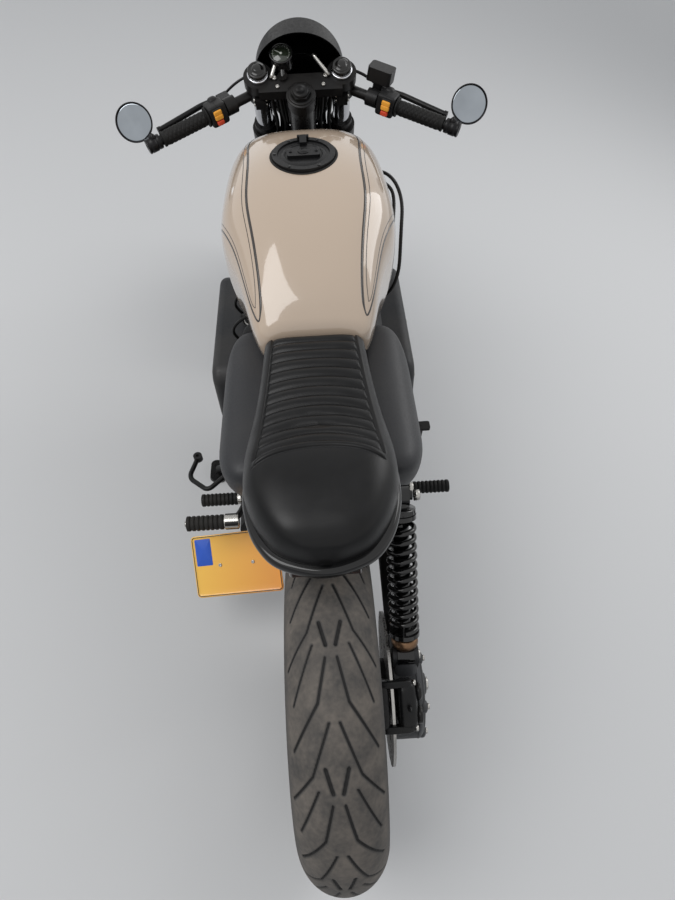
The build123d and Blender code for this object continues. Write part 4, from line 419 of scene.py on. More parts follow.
def relief(made, *layers):
    """Raises the surface by one or more (value, depth in metres) layers, each on the one before."""
    links = made.node_tree.links
    last = None
    for value, depth in layers:
        bump = made.node_tree.nodes.new("ShaderNodeBump")
        bump.inputs["Distance"].default_value = depth
        links.new(value, bump.inputs["Height"])
        if last:
            links.new(last, bump.inputs["Normal"])
        last = bump.outputs["Normal"]
    links.new(last, shader_of(made).inputs["Normal"])


print("a finish can change its", ", ".join(way.__name__ for way in (tint, roughen, relief)))

# %% [markdown]
# ## Paint, plastic and metal
#
# The black parts of this machine differ more in gloss than in colour: lacquer on the tail and the
# flyscreen, satin powder coat on the frame and the bars, grained plastic on the covers, and bare
# or coated castings on the engine. So each is one short function call with its own grain.
# %% Black and grey finishes
def coated(name, colour, roughness, grain=0.00004, metallic=0.0, coat=0.0, dust=0.25, scale=160.0,
           specular=0.2):
    """A coat with fine grain, and slow changes of tone that bring in a little pale dust in patches."""
    made = plain(name, colour, roughness, metallic, coat, specular=specular)
    slow = pattern(made, scale=9, detail=4)
    fine = pattern(made, scale=scale, detail=5)
    dusty = tuple(np.array(colour) * (1 - dust * 0.2) + dust * np.array(shade(96, 90, 82)) * 0.35)
    tint(made, spread(made, slow, 0.42, 0.78), colour, dusty)
    roughen(made, fine, max(roughness - 0.06, 0.03), roughness + 0.09)
    relief(made, (fine, grain))
    return made


coated("wheel_black", shade(24, 24, 25), 0.42, dust=0.55)
coated("fork_black", shade(15, 15, 16), 0.16, grain=0.00001, coat=0.4)
coated("alloy_black", shade(21, 21, 22), 0.34, metallic=0.2)
coated("plastic_black", shade(23, 23, 24), 0.45, grain=0.00008, scale=420)
coated("mirror_black", shade(20, 20, 22), 0.3, metallic=0.2)
coated("caliper_black", shade(18, 18, 19), 0.28, dust=0.5)
coated("screen_black", shade(6, 6, 7), 0.3, grain=0.000004, dust=0.03, specular=0.05)
coated("lamp_shell", shade(11, 11, 12), 0.15, grain=0.000005, coat=0.4)
coated("gauge_black", shade(14, 14, 15), 0.2, grain=0.00001, coat=0.5)
coated("frame_black", shade(19, 19, 20), 0.3, coat=0.25, dust=0.3)
coated("filler_black", shade(22, 22, 23), 0.33, metallic=0.15, dust=0.1)
coated("tray_black", shade(7, 7, 8), 0.08, grain=0.000004, coat=0.4, dust=0.03)
coated("cover_black", shade(33, 34, 37), 0.5, grain=0.00005, scale=320, dust=0.2, specular=0.4)
coated("radiator_black", shade(16, 16, 16), 0.5, dust=0.5)
coated("exhaust_black", shade(22, 21, 21), 0.55, dust=0.4)
coated("shock_black", shade(12, 12, 13), 0.14, grain=0.00001, coat=0.5, dust=0.1)
coated("engine_grey", shade(46, 47, 49), 0.48, metallic=0.3, dust=0.5, grain=0.00012)
coated("peg_rubber", shade(22, 22, 22), 0.62, dust=0.4, grain=0.0001)
coated("grip_rubber", shade(15, 15, 15), 0.6, grain=0.00005, scale=500, dust=0.15)
coated("cable_rubber", shade(13, 13, 13), 0.4, grain=0.00003, scale=700, dust=0.1)


def metal(name, colour, roughness, scale=300.0):
    """Bare metal: a fine pattern changes its roughness, and a coarse one its tone."""
    made = plain(name, colour, roughness, metallic=1.0)
    fine = pattern(made, scale=scale, detail=4)
    slow = pattern(made, scale=14, detail=3)
    tint(made, spread(made, slow, 0.3, 0.8), colour, tuple(np.array(colour) * 0.72))
    roughen(made, fine, roughness * 0.75, roughness * 1.5)
    relief(made, (fine, 0.00001))


metal("disc_steel", shade(168, 166, 163), 0.28)
metal("axle_steel", shade(150, 150, 152), 0.3)
metal("fork_chrome", shade(205, 206, 210), 0.09)
metal("screw_steel", shade(176, 174, 170), 0.24)
print("finishes so far:", len(finishes))

# %% [markdown]
# ## Dress the solid parts
#
# The parts that stay as they are only need their finishes. Each node keeps its mesh and gets one
# material, chosen from a short table of which parts share a finish.
# %% Give every solid part its finish
dressed = {
    "wheel_black": ["front_wheel", "rear_wheel"],
    "fork_black": ["fork_sliders", "front_mudguard"],
    "fork_chrome": ["fork_tubes"],
    "alloy_black": ["fork_yokes", "clip_on_bars", "hand_controls", "foot_controls",
                    "pillion_footrest", "swingarm"],
    "plastic_black": ["switch_boxes", "plate_bracket", "intake"],
    "mirror_black": ["bar_end_mirrors"],
    "caliper_black": ["front_calipers", "rear_caliper"],
    "screen_black": ["flyscreen"],
    "lamp_shell": ["headlamp"],
    "gauge_black": ["gauge"],
    "frame_black": ["frame", "side_stand"],
    "filler_black": ["filler_ring", "filler_lid"],
    "tray_black": ["tail_tray"],
    "cover_black": ["side_covers"],
    "radiator_black": ["radiator"],
    "exhaust_black": ["exhaust"],
    "shock_black": ["shock", "shock_spring"],
    "engine_grey": ["engine_block", "engine_covers", "gearbox", "final_drive"],
    "grip_rubber": ["grips"],
    "disc_steel": ["front_brake_discs", "rear_brake_disc"],
    "axle_steel": ["front_axle"],
}


def dress(node, finish):
    """Gives a solid part one finish in place of what it came with."""
    mesh = bpy.data.objects[node].data
    mesh.materials.clear()
    mesh.materials.append(finishes[finish])


for finish, nodes in dressed.items():
    for node in nodes:
        dress(node, finish)
print("dressed:", sum(len(nodes) for nodes in dressed.values()), "nodes")

# %% [markdown]
# ## The tank's skin
#
# A steel tank is pressed from sheet, so its surface runs smoothly from a wide shoulder to the
# narrow part between the rider's knees. A short table gives the half width, the height of the
# widest point and the height of the top at a few stations. A cubic spline joins the stations, and
# across the tank the top follows a flattened ellipse. One function then gives any point.
# %% The tank as a function of two numbers
TANK = mm(
    # station, half width, bottom, height of the widest point, top
    (503, 102, 745, 778, 806),
    (540, 116, 720, 782, 840),
    (600, 132, 710, 790, 880),
    (680, 156, 702, 800, 918),
    (745, 177, 700, 805, 938),
    (830, 180, 700, 812, 953),
    (930, 172, 705, 820, 950),
    (1020, 146, 745, 832, 928),
    (1078, 104, 800, 848, 892),
)
TANK_REAR, TANK_FRONT = TANK[0, 0], TANK[-1, 0]
END_ROUND = 0.016
FILLER = np.array([0.0, 0.862])


def tank_arch(wide, high, q):
    """Height of the top: widest + rise x (1 - q^3.2)^(1/2.6), where q is x over the half width."""
    return wide + (high - wide) * (1 - q**3.2) ** (1 / 2.6)


def tank_top(x, y):
    """Height of the tank above a place in its plan."""
    half, _, wide, high = (spline(TANK[:, 0], TANK[:, k], y) for k in range(1, 5))
    return tank_arch(wide, high, np.clip(np.abs(x) / half, 0, 1))


def tank_point(y, v):
    """v runs from -1, over the top at 0, to 1 at the widest points; past these the flank goes down
    and inwards to v = -1.5 and 1.5. Near both ends the section shrinks like a quarter circle."""
    y, v = np.broadcast_arrays(np.asarray(y, float), np.asarray(v, float))
    half, low, wide, high = (spline(TANK[:, 0], TANK[:, k], y) for k in range(1, 5))
    end = np.minimum(y - TANK_REAR, TANK_FRONT - y)
    e = np.clip(1 - end / END_ROUND, 0, 1)
    shrink = END_ROUND * (1 - np.sqrt(1 - e**2))
    half, low, high = half - shrink, low + shrink, high - shrink
    q = np.sin(np.clip(np.abs(v), 0, 1) * np.pi / 2)
    over = tank_arch(wide, high, q)
    down = np.clip(np.abs(v) - 1, 0, 0.5) * 2
    x = np.sign(v) * (half * q - 0.010 * down**2)
    z = np.where(np.abs(v) <= 1, over, wide + (low - wide) * down)
    return np.stack([x, y, z], -1)


coated("tank_paint", shade(184, 165, 146), 0.16, grain=0.0, coat=1.0, dust=0.06)
print("tank top at the filler:", round(float(tank_top(*FILLER)), 4))

# %% [markdown]
# ## Build the tank
#
# The grid goes over the top, down both flanks, in to the tunnel that straddles the frame, and up
# into it. The cells inside the round well at the filler are dropped. A short wall goes down into
# the well, and a rubber seal lies over its edge, as on the real tank, so that the painted sheet
# never shows a raw edge.
# %% Build the tank and its filler well
WELL = 0.0645
WELL_FLOOR = 0.9366
TUNNEL_HALF = 0.082
ends = END_ROUND * (1 - np.cos(np.linspace(0, np.pi / 2, 8)))
middle = np.linspace(TANK_REAR + END_ROUND, TANK_FRONT - END_ROUND, 210)[1:-1]
stations = np.concatenate([TANK_REAR + ends, middle, TANK_FRONT - ends[::-1]])
flank = np.linspace(1, 1.5, 16)[1:]
over = np.linspace(-1, 1, 171)
sections = tank_point(stations[:, None], np.concatenate([-flank[::-1], over, flank])[None])
roof = 0.770 + np.clip(stations - 0.935, 0, 1) * (0.104 / 0.165)
bottom = sections[:, -1, 2]
roof = np.clip(roof, bottom + 0.004, None)
tunnel_half = np.minimum(TUNNEL_HALF, sections[:, -1, 0] - 0.012)


def tunnel_wall(side):
    """From the flank's lower edge in to the tunnel, and up to its roof."""
    x = np.stack([side * tunnel_half] * 2, -1)
    z = np.stack([bottom, roof], -1)
    wall = np.stack([x, np.broadcast_to(stations[:, None], x.shape), z], -1)
    return wall if side > 0 else wall[:, ::-1]


tank_grid = np.concatenate([tunnel_wall(-1), sections, tunnel_wall(1)], axis=1)
in_well = (np.linalg.norm(tank_grid[..., :2] - FILLER, axis=-1) < WELL) & (tank_grid[..., 2] > 0.9)
piece("tank_skin", [tank_grid], "chassis", "tank_paint", replaces=["fuel_tank"], dropped=in_well)

turn = circle(120)
way = np.stack([np.cos(turn), np.sin(turn)], -1)
wall_top, wall_low = FILLER + (WELL + 0.0022) * way, FILLER + WELL * way
floor_edge = FILLER + (wall_low - FILLER) * 0.4
edge = np.stack([
    np.column_stack([wall_top, tank_top(*wall_top.T) - 0.0004]),
    np.column_stack([wall_low, tank_top(*wall_low.T) - 0.0009]),
    np.column_stack([wall_low, np.full(120, WELL_FLOOR)]),
    np.column_stack([floor_edge, np.full(120, WELL_FLOOR - 0.0004)]),
])
piece("filler_well", [patch(edge, capped=False)], "chassis", "tank_paint")

seal_centre = FILLER + (WELL + 0.0016) * way
seal_middle = np.column_stack([seal_centre, tank_top(*seal_centre.T)])
around = circle(10)[None, :, None]
seal_across = np.column_stack([way, np.zeros(120)])[:, None]
seal = seal_middle[:, None] + 0.0031 * np.cos(around) * seal_across + 0.0014 * np.sin(around) * (0, 0, 1)
seal = piece("filler_seal", [patch(seal, closed_rows=True)], "chassis", "peg_rubber")
print("tank grid:", tank_grid.shape[:2], "filler seal:", len(seal.data.vertices), "points")


# %% [markdown]
# ## Tyres
#
# A road tyre is a ring with a round crown. Its grid runs round the wheel and across the crown,
# down each sidewall and inside to the bead. The tread is cut by lowering the points that lie inside
# a groove, which is a line with a width, laid along the crown and across it. How far inside a point
# lies is kept with it, so that the grooves can be kept clean of dust and painted dark as their
# shade. One length of the pattern is repeated round the tyre.
# %% Grooves as distances to lines
def ease(t):
    """A smooth step from 0 to 1: 3 t squared less 2 t cubed."""
    t = np.clip(t, 0, 1)
    return t * t * (3 - 2 * t)


def to_lines(along, across, lines, period):
    """How far inside the nearest groove's edge a point lies, in metres: negative outside."""
    inside = np.full(along.shape, -1.0)
    for points, width in lines:
        points = np.asarray(points, float)
        for (a0, s0), (a1, s1) in zip(points[:-1], points[1:]):
            run, rise = a1 - a0, s1 - s0
            for shift in (-period, 0, period):
                du, dv = along - a0 - shift, np.abs(across) - s0
                t = np.clip((du * run + dv * rise) / (run**2 + rise**2), 0, 1)
                far = np.hypot(du - t * run, dv - t * rise)
                inside = np.maximum(inside, width - far)
    return inside


TREAD_DEPTH = 0.0034
GROOVE_RANGE = 0.012


def tyre(name, axle, radius, width, crown, bead, bead_half, body, lines, repeats, rows, dense):
    """Round the wheel by a; across: a crown arc, a rounded shoulder, a sidewall that swells a
    little, and the inside. Every point sits at (x, axle y - r sin a, axle z + r cos a)."""
    half = width / 2
    reach = math.asin(half / crown)
    arc = np.linspace(-reach, reach, dense)
    crown_x, crown_r = crown * np.sin(arc), radius - crown + crown * np.cos(arc)
    t = np.linspace(0, 1, 13)[1:]
    shoulder_r = crown_r[-1]
    side_x = half - (half - bead_half) * t**2.2
    side_r = shoulder_r + (bead + 0.004 - shoulder_r) * t
    inner_x = np.array([bead_half - 0.004, half - 0.016, half * 0.4])
    inner_r = np.array([bead + 0.001, shoulder_r - 0.012, radius - 0.022])
    right_x, right_r = np.concatenate([side_x, inner_x]), np.concatenate([side_r, inner_r])
    x = np.concatenate([crown_x, right_x, -right_x[::-1]])
    r = np.concatenate([crown_r, right_r, right_r[::-1]])
    across = np.concatenate([crown * arc, np.full(2 * len(right_x), 1.0)])
    a = circle(rows)
    period = 2 * np.pi * radius / repeats
    along = np.broadcast_to((a[:, None] * radius) % period, (rows, len(x)))
    groove = to_lines(along, np.broadcast_to(across, along.shape), lines, period)
    depth = TREAD_DEPTH * ease((groove + 0.0006) / 0.0022)
    r = r[None] - depth
    points = np.stack([
        np.broadcast_to(x, r.shape) + axle[0],
        axle[1] - r * np.sin(a)[:, None],
        axle[2] + r * np.cos(a)[:, None],
    ], -1)
    share = np.broadcast_to(np.clip(across / (crown * reach), -1, 1), r.shape)
    values = {"groove": np.clip(0.5 + groove / GROOVE_RANGE, 0, 1), "across": share}
    return piece(name, [patch(points, closed_rows=True)], body, "tyre_rubber",
                 replaces=[body.replace("wheel", "tyre")], values=values)


# %% [markdown]
# The rubber is dark grey where it is clean and grey-brown where dust lies on the tread. The dust
# follows the length of the tread in soft streaks and stays off the sidewalls and the grooves. Inside
# the grooves the rubber is painted near black as their shade.
# %% Rubber with road dust and painted shade in its grooves
tyre_rubber = plain("tyre_rubber", shade(52, 50, 48), 0.75, specular=0.35)


def rubber_dust_and_groove_shade(made):
    """Mixes clean rubber and dust by streaks and keeps the dust out of the grooves. It paints the
    grooves near black as their shade.
    """
    tree = made.node_tree
    nodes, links = tree.nodes, tree.links
    groove, across = (nodes.new("ShaderNodeAttribute") for _ in range(2))
    groove.attribute_name, across.attribute_name = "groove", "across"
    coarse = pattern(made, scale=22, detail=7)
    fine = pattern(made, scale=130, detail=6)
    streak = spread(made, maths(tree, "MULTIPLY_ADD", fine, 0.45, coarse), 0.5, 1.0)
    tread = spread(made, maths(tree, "ABSOLUTE", across.outputs["Fac"]), 0.98, 0.8)
    clean = spread(made, groove.outputs["Fac"], 0.5, 0.3)
    dust = maths(tree, "MULTIPLY", maths(tree, "MULTIPLY", streak, tread), clean)
    base = tint(made, dust, shade(64, 62, 60), shade(106, 99, 92))
    # Painted shade: the rubber inside the grooves is darkened near black where their shade would fall.
    groove_shade = nodes.new("ShaderNodeMix")
    groove_shade.data_type = "RGBA"
    groove_shade.inputs["B"].default_value = (*shade(17, 16, 16), 1)
    links.new(spread(made, groove.outputs["Fac"], 0.47, 0.54), groove_shade.inputs["Factor"])
    links.new(base.outputs["Result"], groove_shade.inputs["A"])
    links.new(groove_shade.outputs["Result"], shader_of(made).inputs["Base Color"])
    relief(made, (fine, 0.0004), (pattern(made, scale=700, detail=3), 0.00015))


rubber_dust_and_groove_shade(tyre_rubber)
REAR_GROOVES = [
    # middle line as (along the crown, across it) and half width
    ([(0.000, 0.0170), (0.036, 0.0075)], 0.0030),
    ([(0.034, 0.0290), (0.122, 0.0680)], 0.0019),
    ([(0.054, 0.0090), (0.118, 0.0235), (0.192, 0.0720)], 0.0022),
    ([(0.145, 0.0080), (0.222, 0.0370), (0.276, 0.0810)], 0.0020),
]
FRONT_GROOVES = [
    ([(0.010, 0.0080), (0.060, 0.0200), (0.110, 0.0480)], 0.0026),
    ([(0.090, 0.0060), (0.140, 0.0180), (0.190, 0.0500)], 0.0026),
]
rear_tyre = tyre("rear_tread", (0, 0, REAR_RADIUS), REAR_RADIUS, 0.150, 0.078, 0.218, 0.0475,
                 "rear_wheel", REAR_GROOVES, 10, 920, 76)
front_tyre = tyre("front_tread", (0, wheelbase, FRONT_RADIUS), FRONT_RADIUS, 0.105, 0.063, 0.229, 0.0307,
                  "front_wheel", FRONT_GROOVES, 11, 620, 52)
print("tyre faces:", len(rear_tyre.data.polygons), len(front_tyre.data.polygons))

# %% [markdown]
# ## The seat
#
# The seat is a foam shell covered in black leatherette, with a ribbed panel let into it where the
# rider sits. The shell's two borders run back without a break into the hump. The panel ends at the
# hump in an arch. So the rows of the grid are bent like that arch, and its columns follow the
# panel's edges. A seam then lies along one row or one column and stays crisp.
# %% The seat's outline, its height and its bent rows
SEAT_BOTTOM = 0.7706
SEAT_FRONT = 0.500
TAIL = 0.040
SEAM = 0.217
ARCH = 0.027
PANEL_SHARE = 0.8
FLANKS = mm(
    # place along the seat, half width
    (40, 0), (46, 34), (60, 66), (80, 86), (100, 99), (130, 112), (165, 121), (200, 122.5),
    (240, 120), (300, 110.5), (360, 103), (430, 97), (500, 93),
)
CROWN = mm(
    # place along the seat, height of its middle line
    (40, 786), (44, 803), (53, 818), (70, 830), (100, 839.5), (140, 845.2), (180, 845.8),
    (217, 839.5), (250, 829), (300, 821.5), (370, 817.5), (440, 816.5), (480, 813), (500, 807),
)
PANEL = mm(
    # place along the seat, half width of the ribbed panel
    (150, 101), (187, 98.5), (260, 91.5), (327, 85.5), (400, 80), (500, 74.5),
)


def half_width(y):
    """Half the seat's width: a spline through the flank table, taken over the square root of the
    distance from the tail, so that the round tail meets the middle line squarely."""
    s = np.sqrt(np.clip(np.asarray(y, float) - TAIL, 0, None))
    return spline(np.sqrt(FLANKS[:, 0] - TAIL), FLANKS[:, 1], s)


def panel_half(y):
    """Half the ribbed panel's width, never more than 0.86 of the seat's."""
    return np.minimum(spline(PANEL[:, 0], PANEL[:, 1], y), 0.86 * half_width(y))


def bend_of(s):
    """How far back a row lies 0.1 m from the middle: 0 at the front, most at the seam, 0 at the tail."""
    front = np.clip((0.470 - s) / (0.470 - SEAM), 0, 1) ** 1.3
    rear = np.clip((s - TAIL) / (SEAM - TAIL), 0, 1)
    return ARCH * np.where(s > SEAM, front, rear)


def seat_plan(s, u):
    """Plan of row s and column u: x grows to the panel's edge up to u = 0.8, and beyond it to the
    flank as a quarter sine. y is s less the row's bend times the square of x over 0.1."""
    share = np.clip(np.abs(u) / PANEL_SHARE, 0, 1)
    beyond = np.sin(np.clip((np.abs(u) - PANEL_SHARE) / (1 - PANEL_SHARE), 0, 1) * np.pi / 2)
    y = np.broadcast_to(s, np.broadcast_shapes(s.shape, u.shape))
    for _ in range(4):
        edge = panel_half(y)
        x = np.sign(u) * (share * edge + beyond * (half_width(y) - edge))
        y = np.clip(s - bend_of(s) * (x / 0.1) ** 2, TAIL + 0.0002, None)
    return x, y


def shell_height(x, y):
    """Bottom + (crown - bottom) x (1 - q^p)^(1/2.3), where q is x over the half width. The power p
    is 5.2 on the flat front and 4.8 on the hump, and the front edge rolls down over 14 mm."""
    q = np.clip(np.abs(x) / half_width(y), 0, 1)
    p = 5.2 - 0.4 * ease((0.30 - y) / 0.12)
    fall = 0.35 + 0.65 * np.sqrt(np.clip(1 - (1 - np.clip((SEAT_FRONT - y) / 0.014, 0, 1)) ** 2, 0, 1))
    crown = spline(CROWN[:, 0], CROWN[:, 1], y)
    return SEAT_BOTTOM + (crown - SEAT_BOTTOM) * fall * (1 - q**p) ** (1 / 2.3)


print("seat width at the hump:", round(2 * float(half_width(0.2)), 3))

# %% [markdown]
# ## Ribs, lip and slit
#
# Each rib is a padded channel between two lines of stitches, so it rises in a round curve from
# line to line. The panel lies a little deeper than the shell around it. At its sides the cover is
# tucked into a narrow slit. At the arch the hump starts with a piped lip and a second sewn line.
# %% What the upholsterer adds to the plain shell
RIBS = 12
RIB_FRONT = 0.494
PANEL_DEPTH = 0.0072
RIB_HEIGHT = 0.0052
SLIT_DEPTH, SLIT_WIDTH = 0.0050, 0.0019
LIP_HEIGHT, LIP_WIDTH = 0.0026, 0.0125
SEAM_DEPTH = 0.0024


def upholstery(s, x, y):
    """Heights added to the shell: the sunk panel, its ribs |sin|^0.6, the slit, the lip and the seam."""
    edge = panel_half(y)
    inside = ease((edge - np.abs(x)) / 0.0034) * ease((s - SEAM) / 0.0030)
    rib = np.abs(np.sin(np.pi * (s - SEAM) / (RIB_FRONT - SEAM) * RIBS)) ** 0.6
    slit = -SLIT_DEPTH * np.exp(-(((np.abs(x) - edge) / SLIT_WIDTH) ** 2)) * ease((s - SEAM) / 0.002)
    behind = (SEAM - s) / LIP_WIDTH
    across = ease((edge + 0.003 - np.abs(x)) / 0.005)
    lip = LIP_HEIGHT * np.sin(np.pi * np.clip(behind, 0, 1)) ** 0.8 * across
    seam = -SEAM_DEPTH * np.exp(-(((behind - 1.06) / 0.10) ** 2)) * across
    return inside * (RIB_HEIGHT * rib - PANEL_DEPTH) + slit + lip + seam


# %% [markdown]
# ## Let the foam swell
#
# Foam under a tight cover pushes it outwards between the seams. A cloth simulation gives that
# swelling: a coarse copy of the shell is inflated a little, and the points on the seams and along
# the bottom are held. The swelling is then added to the fine grid by straight interpolation in
# rows and columns, so the narrow seams stay as sharp as they were worked out.
# %% Inflate a coarse shell as cloth
FRAMES = 20
SWELL_LIMIT = 0.004


def swelling(points, held, pressure):
    """How far each point of a closed grid moves when it is cloth under pressure, with the held
    points fixed. Each move is cut to SWELL_LIMIT."""
    rows, columns = points.shape[:2]
    mesh = bpy.data.meshes.new("swelling")
    faces = grid_faces(rows, columns).tolist()
    ends = [list(range(columns))[::-1], list(range((rows - 1) * columns, rows * columns))]
    mesh.from_pydata(points.reshape(-1, 3).tolist(), [], faces + ends)
    shell = bpy.data.objects.new("swelling", mesh)
    bpy.context.scene.collection.objects.link(shell)
    turned = bmesh.new()
    turned.from_mesh(mesh)
    bmesh.ops.recalc_face_normals(turned, faces=turned.faces)
    turned.to_mesh(mesh)
    turned.free()
    shell.vertex_groups.new(name="held").add(np.flatnonzero(held.ravel()).tolist(), 1.0, "REPLACE")
    cloth = shell.modifiers.new("cloth", "CLOTH")
    cloth.point_cache.frame_start, cloth.point_cache.frame_end = 1, FRAMES
    settings = cloth.settings
    settings.quality = 6
    settings.vertex_group_mass = "held"
    settings.use_pressure = True
    settings.uniform_pressure_force = pressure
    settings.effector_weights.gravity = 0
    settings.tension_stiffness = settings.compression_stiffness = 40
    for number in range(1, FRAMES + 1):
        bpy.context.scene.frame_set(number)
    swollen = shell.evaluated_get(bpy.context.evaluated_depsgraph_get()).to_mesh()
    moved = np.empty(rows * columns * 3)
    swollen.vertices.foreach_get("co", moved)
    moved = moved.reshape(points.shape) - points
    bpy.data.objects.remove(shell)
    bpy.data.meshes.remove(mesh)
    bpy.context.scene.frame_set(1)
    far = np.linalg.norm(moved, axis=-1, keepdims=True)
    return moved * np.minimum(1, SWELL_LIMIT / np.maximum(far, 1e-9))


def between(coarse, fine):
    """Weights that carry values on coarse places to fine places along a straight line between two."""
    i = np.clip(np.searchsorted(coarse, fine) - 1, 0, len(coarse) - 2)
    t = np.clip((fine - coarse[i]) / (coarse[i + 1] - coarse[i]), 0, 1)
    weights = np.zeros((len(fine), len(coarse)))
    weights[np.arange(len(fine)), i] = 1 - t
    weights[np.arange(len(fine)), i + 1] = t
    return weights


rear_rows = TAIL + 0.0006 + (SEAM - 0.022 - TAIL) * np.linspace(0, 1, 84) ** 1.6
seat_s = np.concatenate([rear_rows[:-1], np.linspace(rear_rows[-1], SEAT_FRONT, 262)])
seat_u = np.linspace(-1, 1, 181)
coarse_s = np.concatenate([seat_s[:-1:7], [SEAM, SEAT_FRONT]])
coarse_s = np.unique(coarse_s.round(5))
coarse_u = np.linspace(-1, 1, 41)
x, y = seat_plan(coarse_s[:, None], coarse_u[None])
top = np.stack([x, y, shell_height(x, y)], -1)
low = top.copy()
low[..., 2] = SEAT_BOTTOM
held_u = (np.abs(np.abs(coarse_u) - PANEL_SHARE) < 1e-6) | (np.abs(coarse_u) > 0.99)
held = held_u[None] | (np.abs(coarse_s - SEAM) < 1e-4)[:, None]
held[[0, -1]] = True
loop = np.concatenate([top, low[:, -2:0:-1]], axis=1)
held_loop = np.concatenate([held, np.ones((len(coarse_s), len(coarse_u) - 2), bool)], axis=1)
swell = swelling(loop, held_loop, 4.0)[:, : len(coarse_u)]
swell[..., 2] = np.clip(swell[..., 2], -0.001, SWELL_LIMIT)
print("most swelling, in millimetres:", round(1000 * float(np.abs(swell).max()), 2))

# %% [markdown]
# ## Leatherette
#
# The cover is black vinyl with a fine leather grain: shallow cells less than a millimetre across,
# and softer, broader creases. It has worn a little smoother in some places than in others.
# %% Build and cover the seat
leather = plain("seat_leather", shade(9, 9, 10), 0.36, specular=0.22)
leather_cells = pattern(leather, kind="Voronoi", scale=1100)
leather_soft = pattern(leather, scale=26, detail=4)
tint(leather, spread(leather, leather_soft, 0.35, 0.75), shade(7, 7, 8), shade(13, 13, 14))
roughen(leather, leather_soft, 0.28, 0.40)
relief(leather, (leather_cells, 0.00008), (pattern(leather, scale=240, detail=4), 0.00005))

x, y = seat_plan(seat_s[:, None], seat_u[None])
seat_top = np.stack([x, y, shell_height(x, y) + upholstery(seat_s[:, None], x, y)], -1)
seat_top += np.einsum("ia,abk,jb->ijk", between(coarse_s, seat_s), swell, between(coarse_u, seat_u))
seat_top[..., 2] = np.maximum(seat_top[..., 2], SEAT_BOTTOM)
seat_low = seat_top.copy()
seat_low[..., 2] = SEAT_BOTTOM
seat_grid = np.concatenate([seat_top, seat_low[:, -2:0:-10]], axis=1)
seat_cover = piece("seat_cover", [seat_grid], "chassis", "seat_leather", replaces=["seat_pad", "seat_hump"])
print("ribs:", RIBS, "seat points:", len(seat_cover.data.vertices))

# %% [markdown]
# ## Stitches
#
# A short thread shows at each stitch behind the piped lip. Every stitch is a tiny soft box that
# lies on the cover, turned the way the seam runs.
# %% Sew the seam
def on_seat(s, u):
    """Points on the finished cover, read from its fine grid by straight interpolation."""
    rows, columns = between(seat_s, np.atleast_1d(s)), between(seat_u, np.atleast_1d(u))
    return np.einsum("ia,iak->ik", columns, np.einsum("ia,abk->ibk", rows, seat_top))


coated("seam_thread", shade(58, 58, 60), 0.6, grain=0.00002, scale=900, dust=0.1)
seam_u = np.linspace(-0.76, 0.76, 300)
seam_line = on_seat(np.full(300, SEAM - 1.28 * LIP_WIDTH), seam_u)
run = measured(seam_line)
STITCH = 0.0042
stitch_at = np.arange(0.5 * STITCH, run[-1], STITCH)
middles = line_at(seam_line, run, stitch_at)
stitches = []
for middle, heading in zip(middles, unit(line_at(seam_line, run, stitch_at + 0.001) - middles)):
    across, up = frame_of(heading)
    axes = np.array([heading, across, up])
    stitches.append(pillow(middle + 0.0002 * up, (0.0015, 0.00035, 0.00035), axes, 0.8, 5, 6))
piece("hump_stitches", stitches, "chassis", "seam_thread")
print("stitches:", len(stitches))

# %% [markdown]
# ## The lacquered tail rim
#
# Below the seat runs a glossy black tray. Behind the hump it stands out as a wide lip, and its
# rounded edge gives one long highlight. Its grid goes round the seat's plan, and across it from
# the middle of the underside, over the rounded edge, to the middle of the top.
# %% Build the tail rim
TRAY_LOW, TRAY_HIGH = 0.7484, 0.7704
rim_y = TAIL + (0.497 - TAIL) * np.linspace(0, 1, 150) ** 2.2
right_side = np.column_stack([half_width(rim_y), rim_y])
plan_line = np.concatenate([right_side, right_side[:0:-1] * (-1, 1)])
heading = unit(np.roll(plan_line, -1, axis=0) - np.roll(plan_line, 1, axis=0))
outwards = np.stack([heading[:, 1], -heading[:, 0]], -1)
margin = 0.0030 + 0.0100 * ease((0.20 - plan_line[:, 1]) / 0.14)
edge_a = np.linspace(-np.pi / 2, np.pi / 2, 12)
edge_out = np.concatenate([[-1.0], 0.008 * (np.cos(edge_a) - 1), [-1.0]])
edge_up = np.concatenate([[-1.0], np.sin(edge_a), [1.0]])
rim_rows = []
for out, up in zip(edge_out, edge_up):
    flat = plan_line + outwards * (margin + out)[:, None] if out > -1 else plan_line * (0.02, 0) + (0, 0.27)
    height = (TRAY_LOW + TRAY_HIGH) / 2 + up * (TRAY_HIGH - TRAY_LOW) / 2
    rim_rows.append(np.column_stack([flat, np.full(len(flat), height)]))
rim = piece("tail_rim", [np.stack(rim_rows)], "chassis", "tray_black", replaces=["tail_tray"])
print("tail rim points:", len(rim.data.vertices))

# %% [markdown]
# ## Pinstripes
#
# A dark line bounds the panel on each side of the tank: along the shoulder, down to a point beside
# the seat, and forwards again along the flank as a pair of thin lines. Each line is given by a few
# places in the tank's own two numbers. A spline joins them, and a flat band of vinyl, a third of a
# millimetre thick, follows the surface along it.
# %% Lay bands along the tank
BAND_LIFT, BAND_SUNK = 0.0003, 0.0008


def ribbon(middle, normals, half):
    """A flat band: middle ± half x across, lifted along the normal, and the same band sunk below.
    across is square to the band's heading and to the normal."""
    heading = unit(np.gradient(middle, axis=0))
    across = unit(np.cross(heading, normals))
    half = np.broadcast_to(half, len(middle))[:, None]
    above, below, reach = middle + BAND_LIFT * normals, middle - BAND_SUNK * normals, half * across
    return np.stack([above - reach, above + reach, below + reach, below - reach], 1)


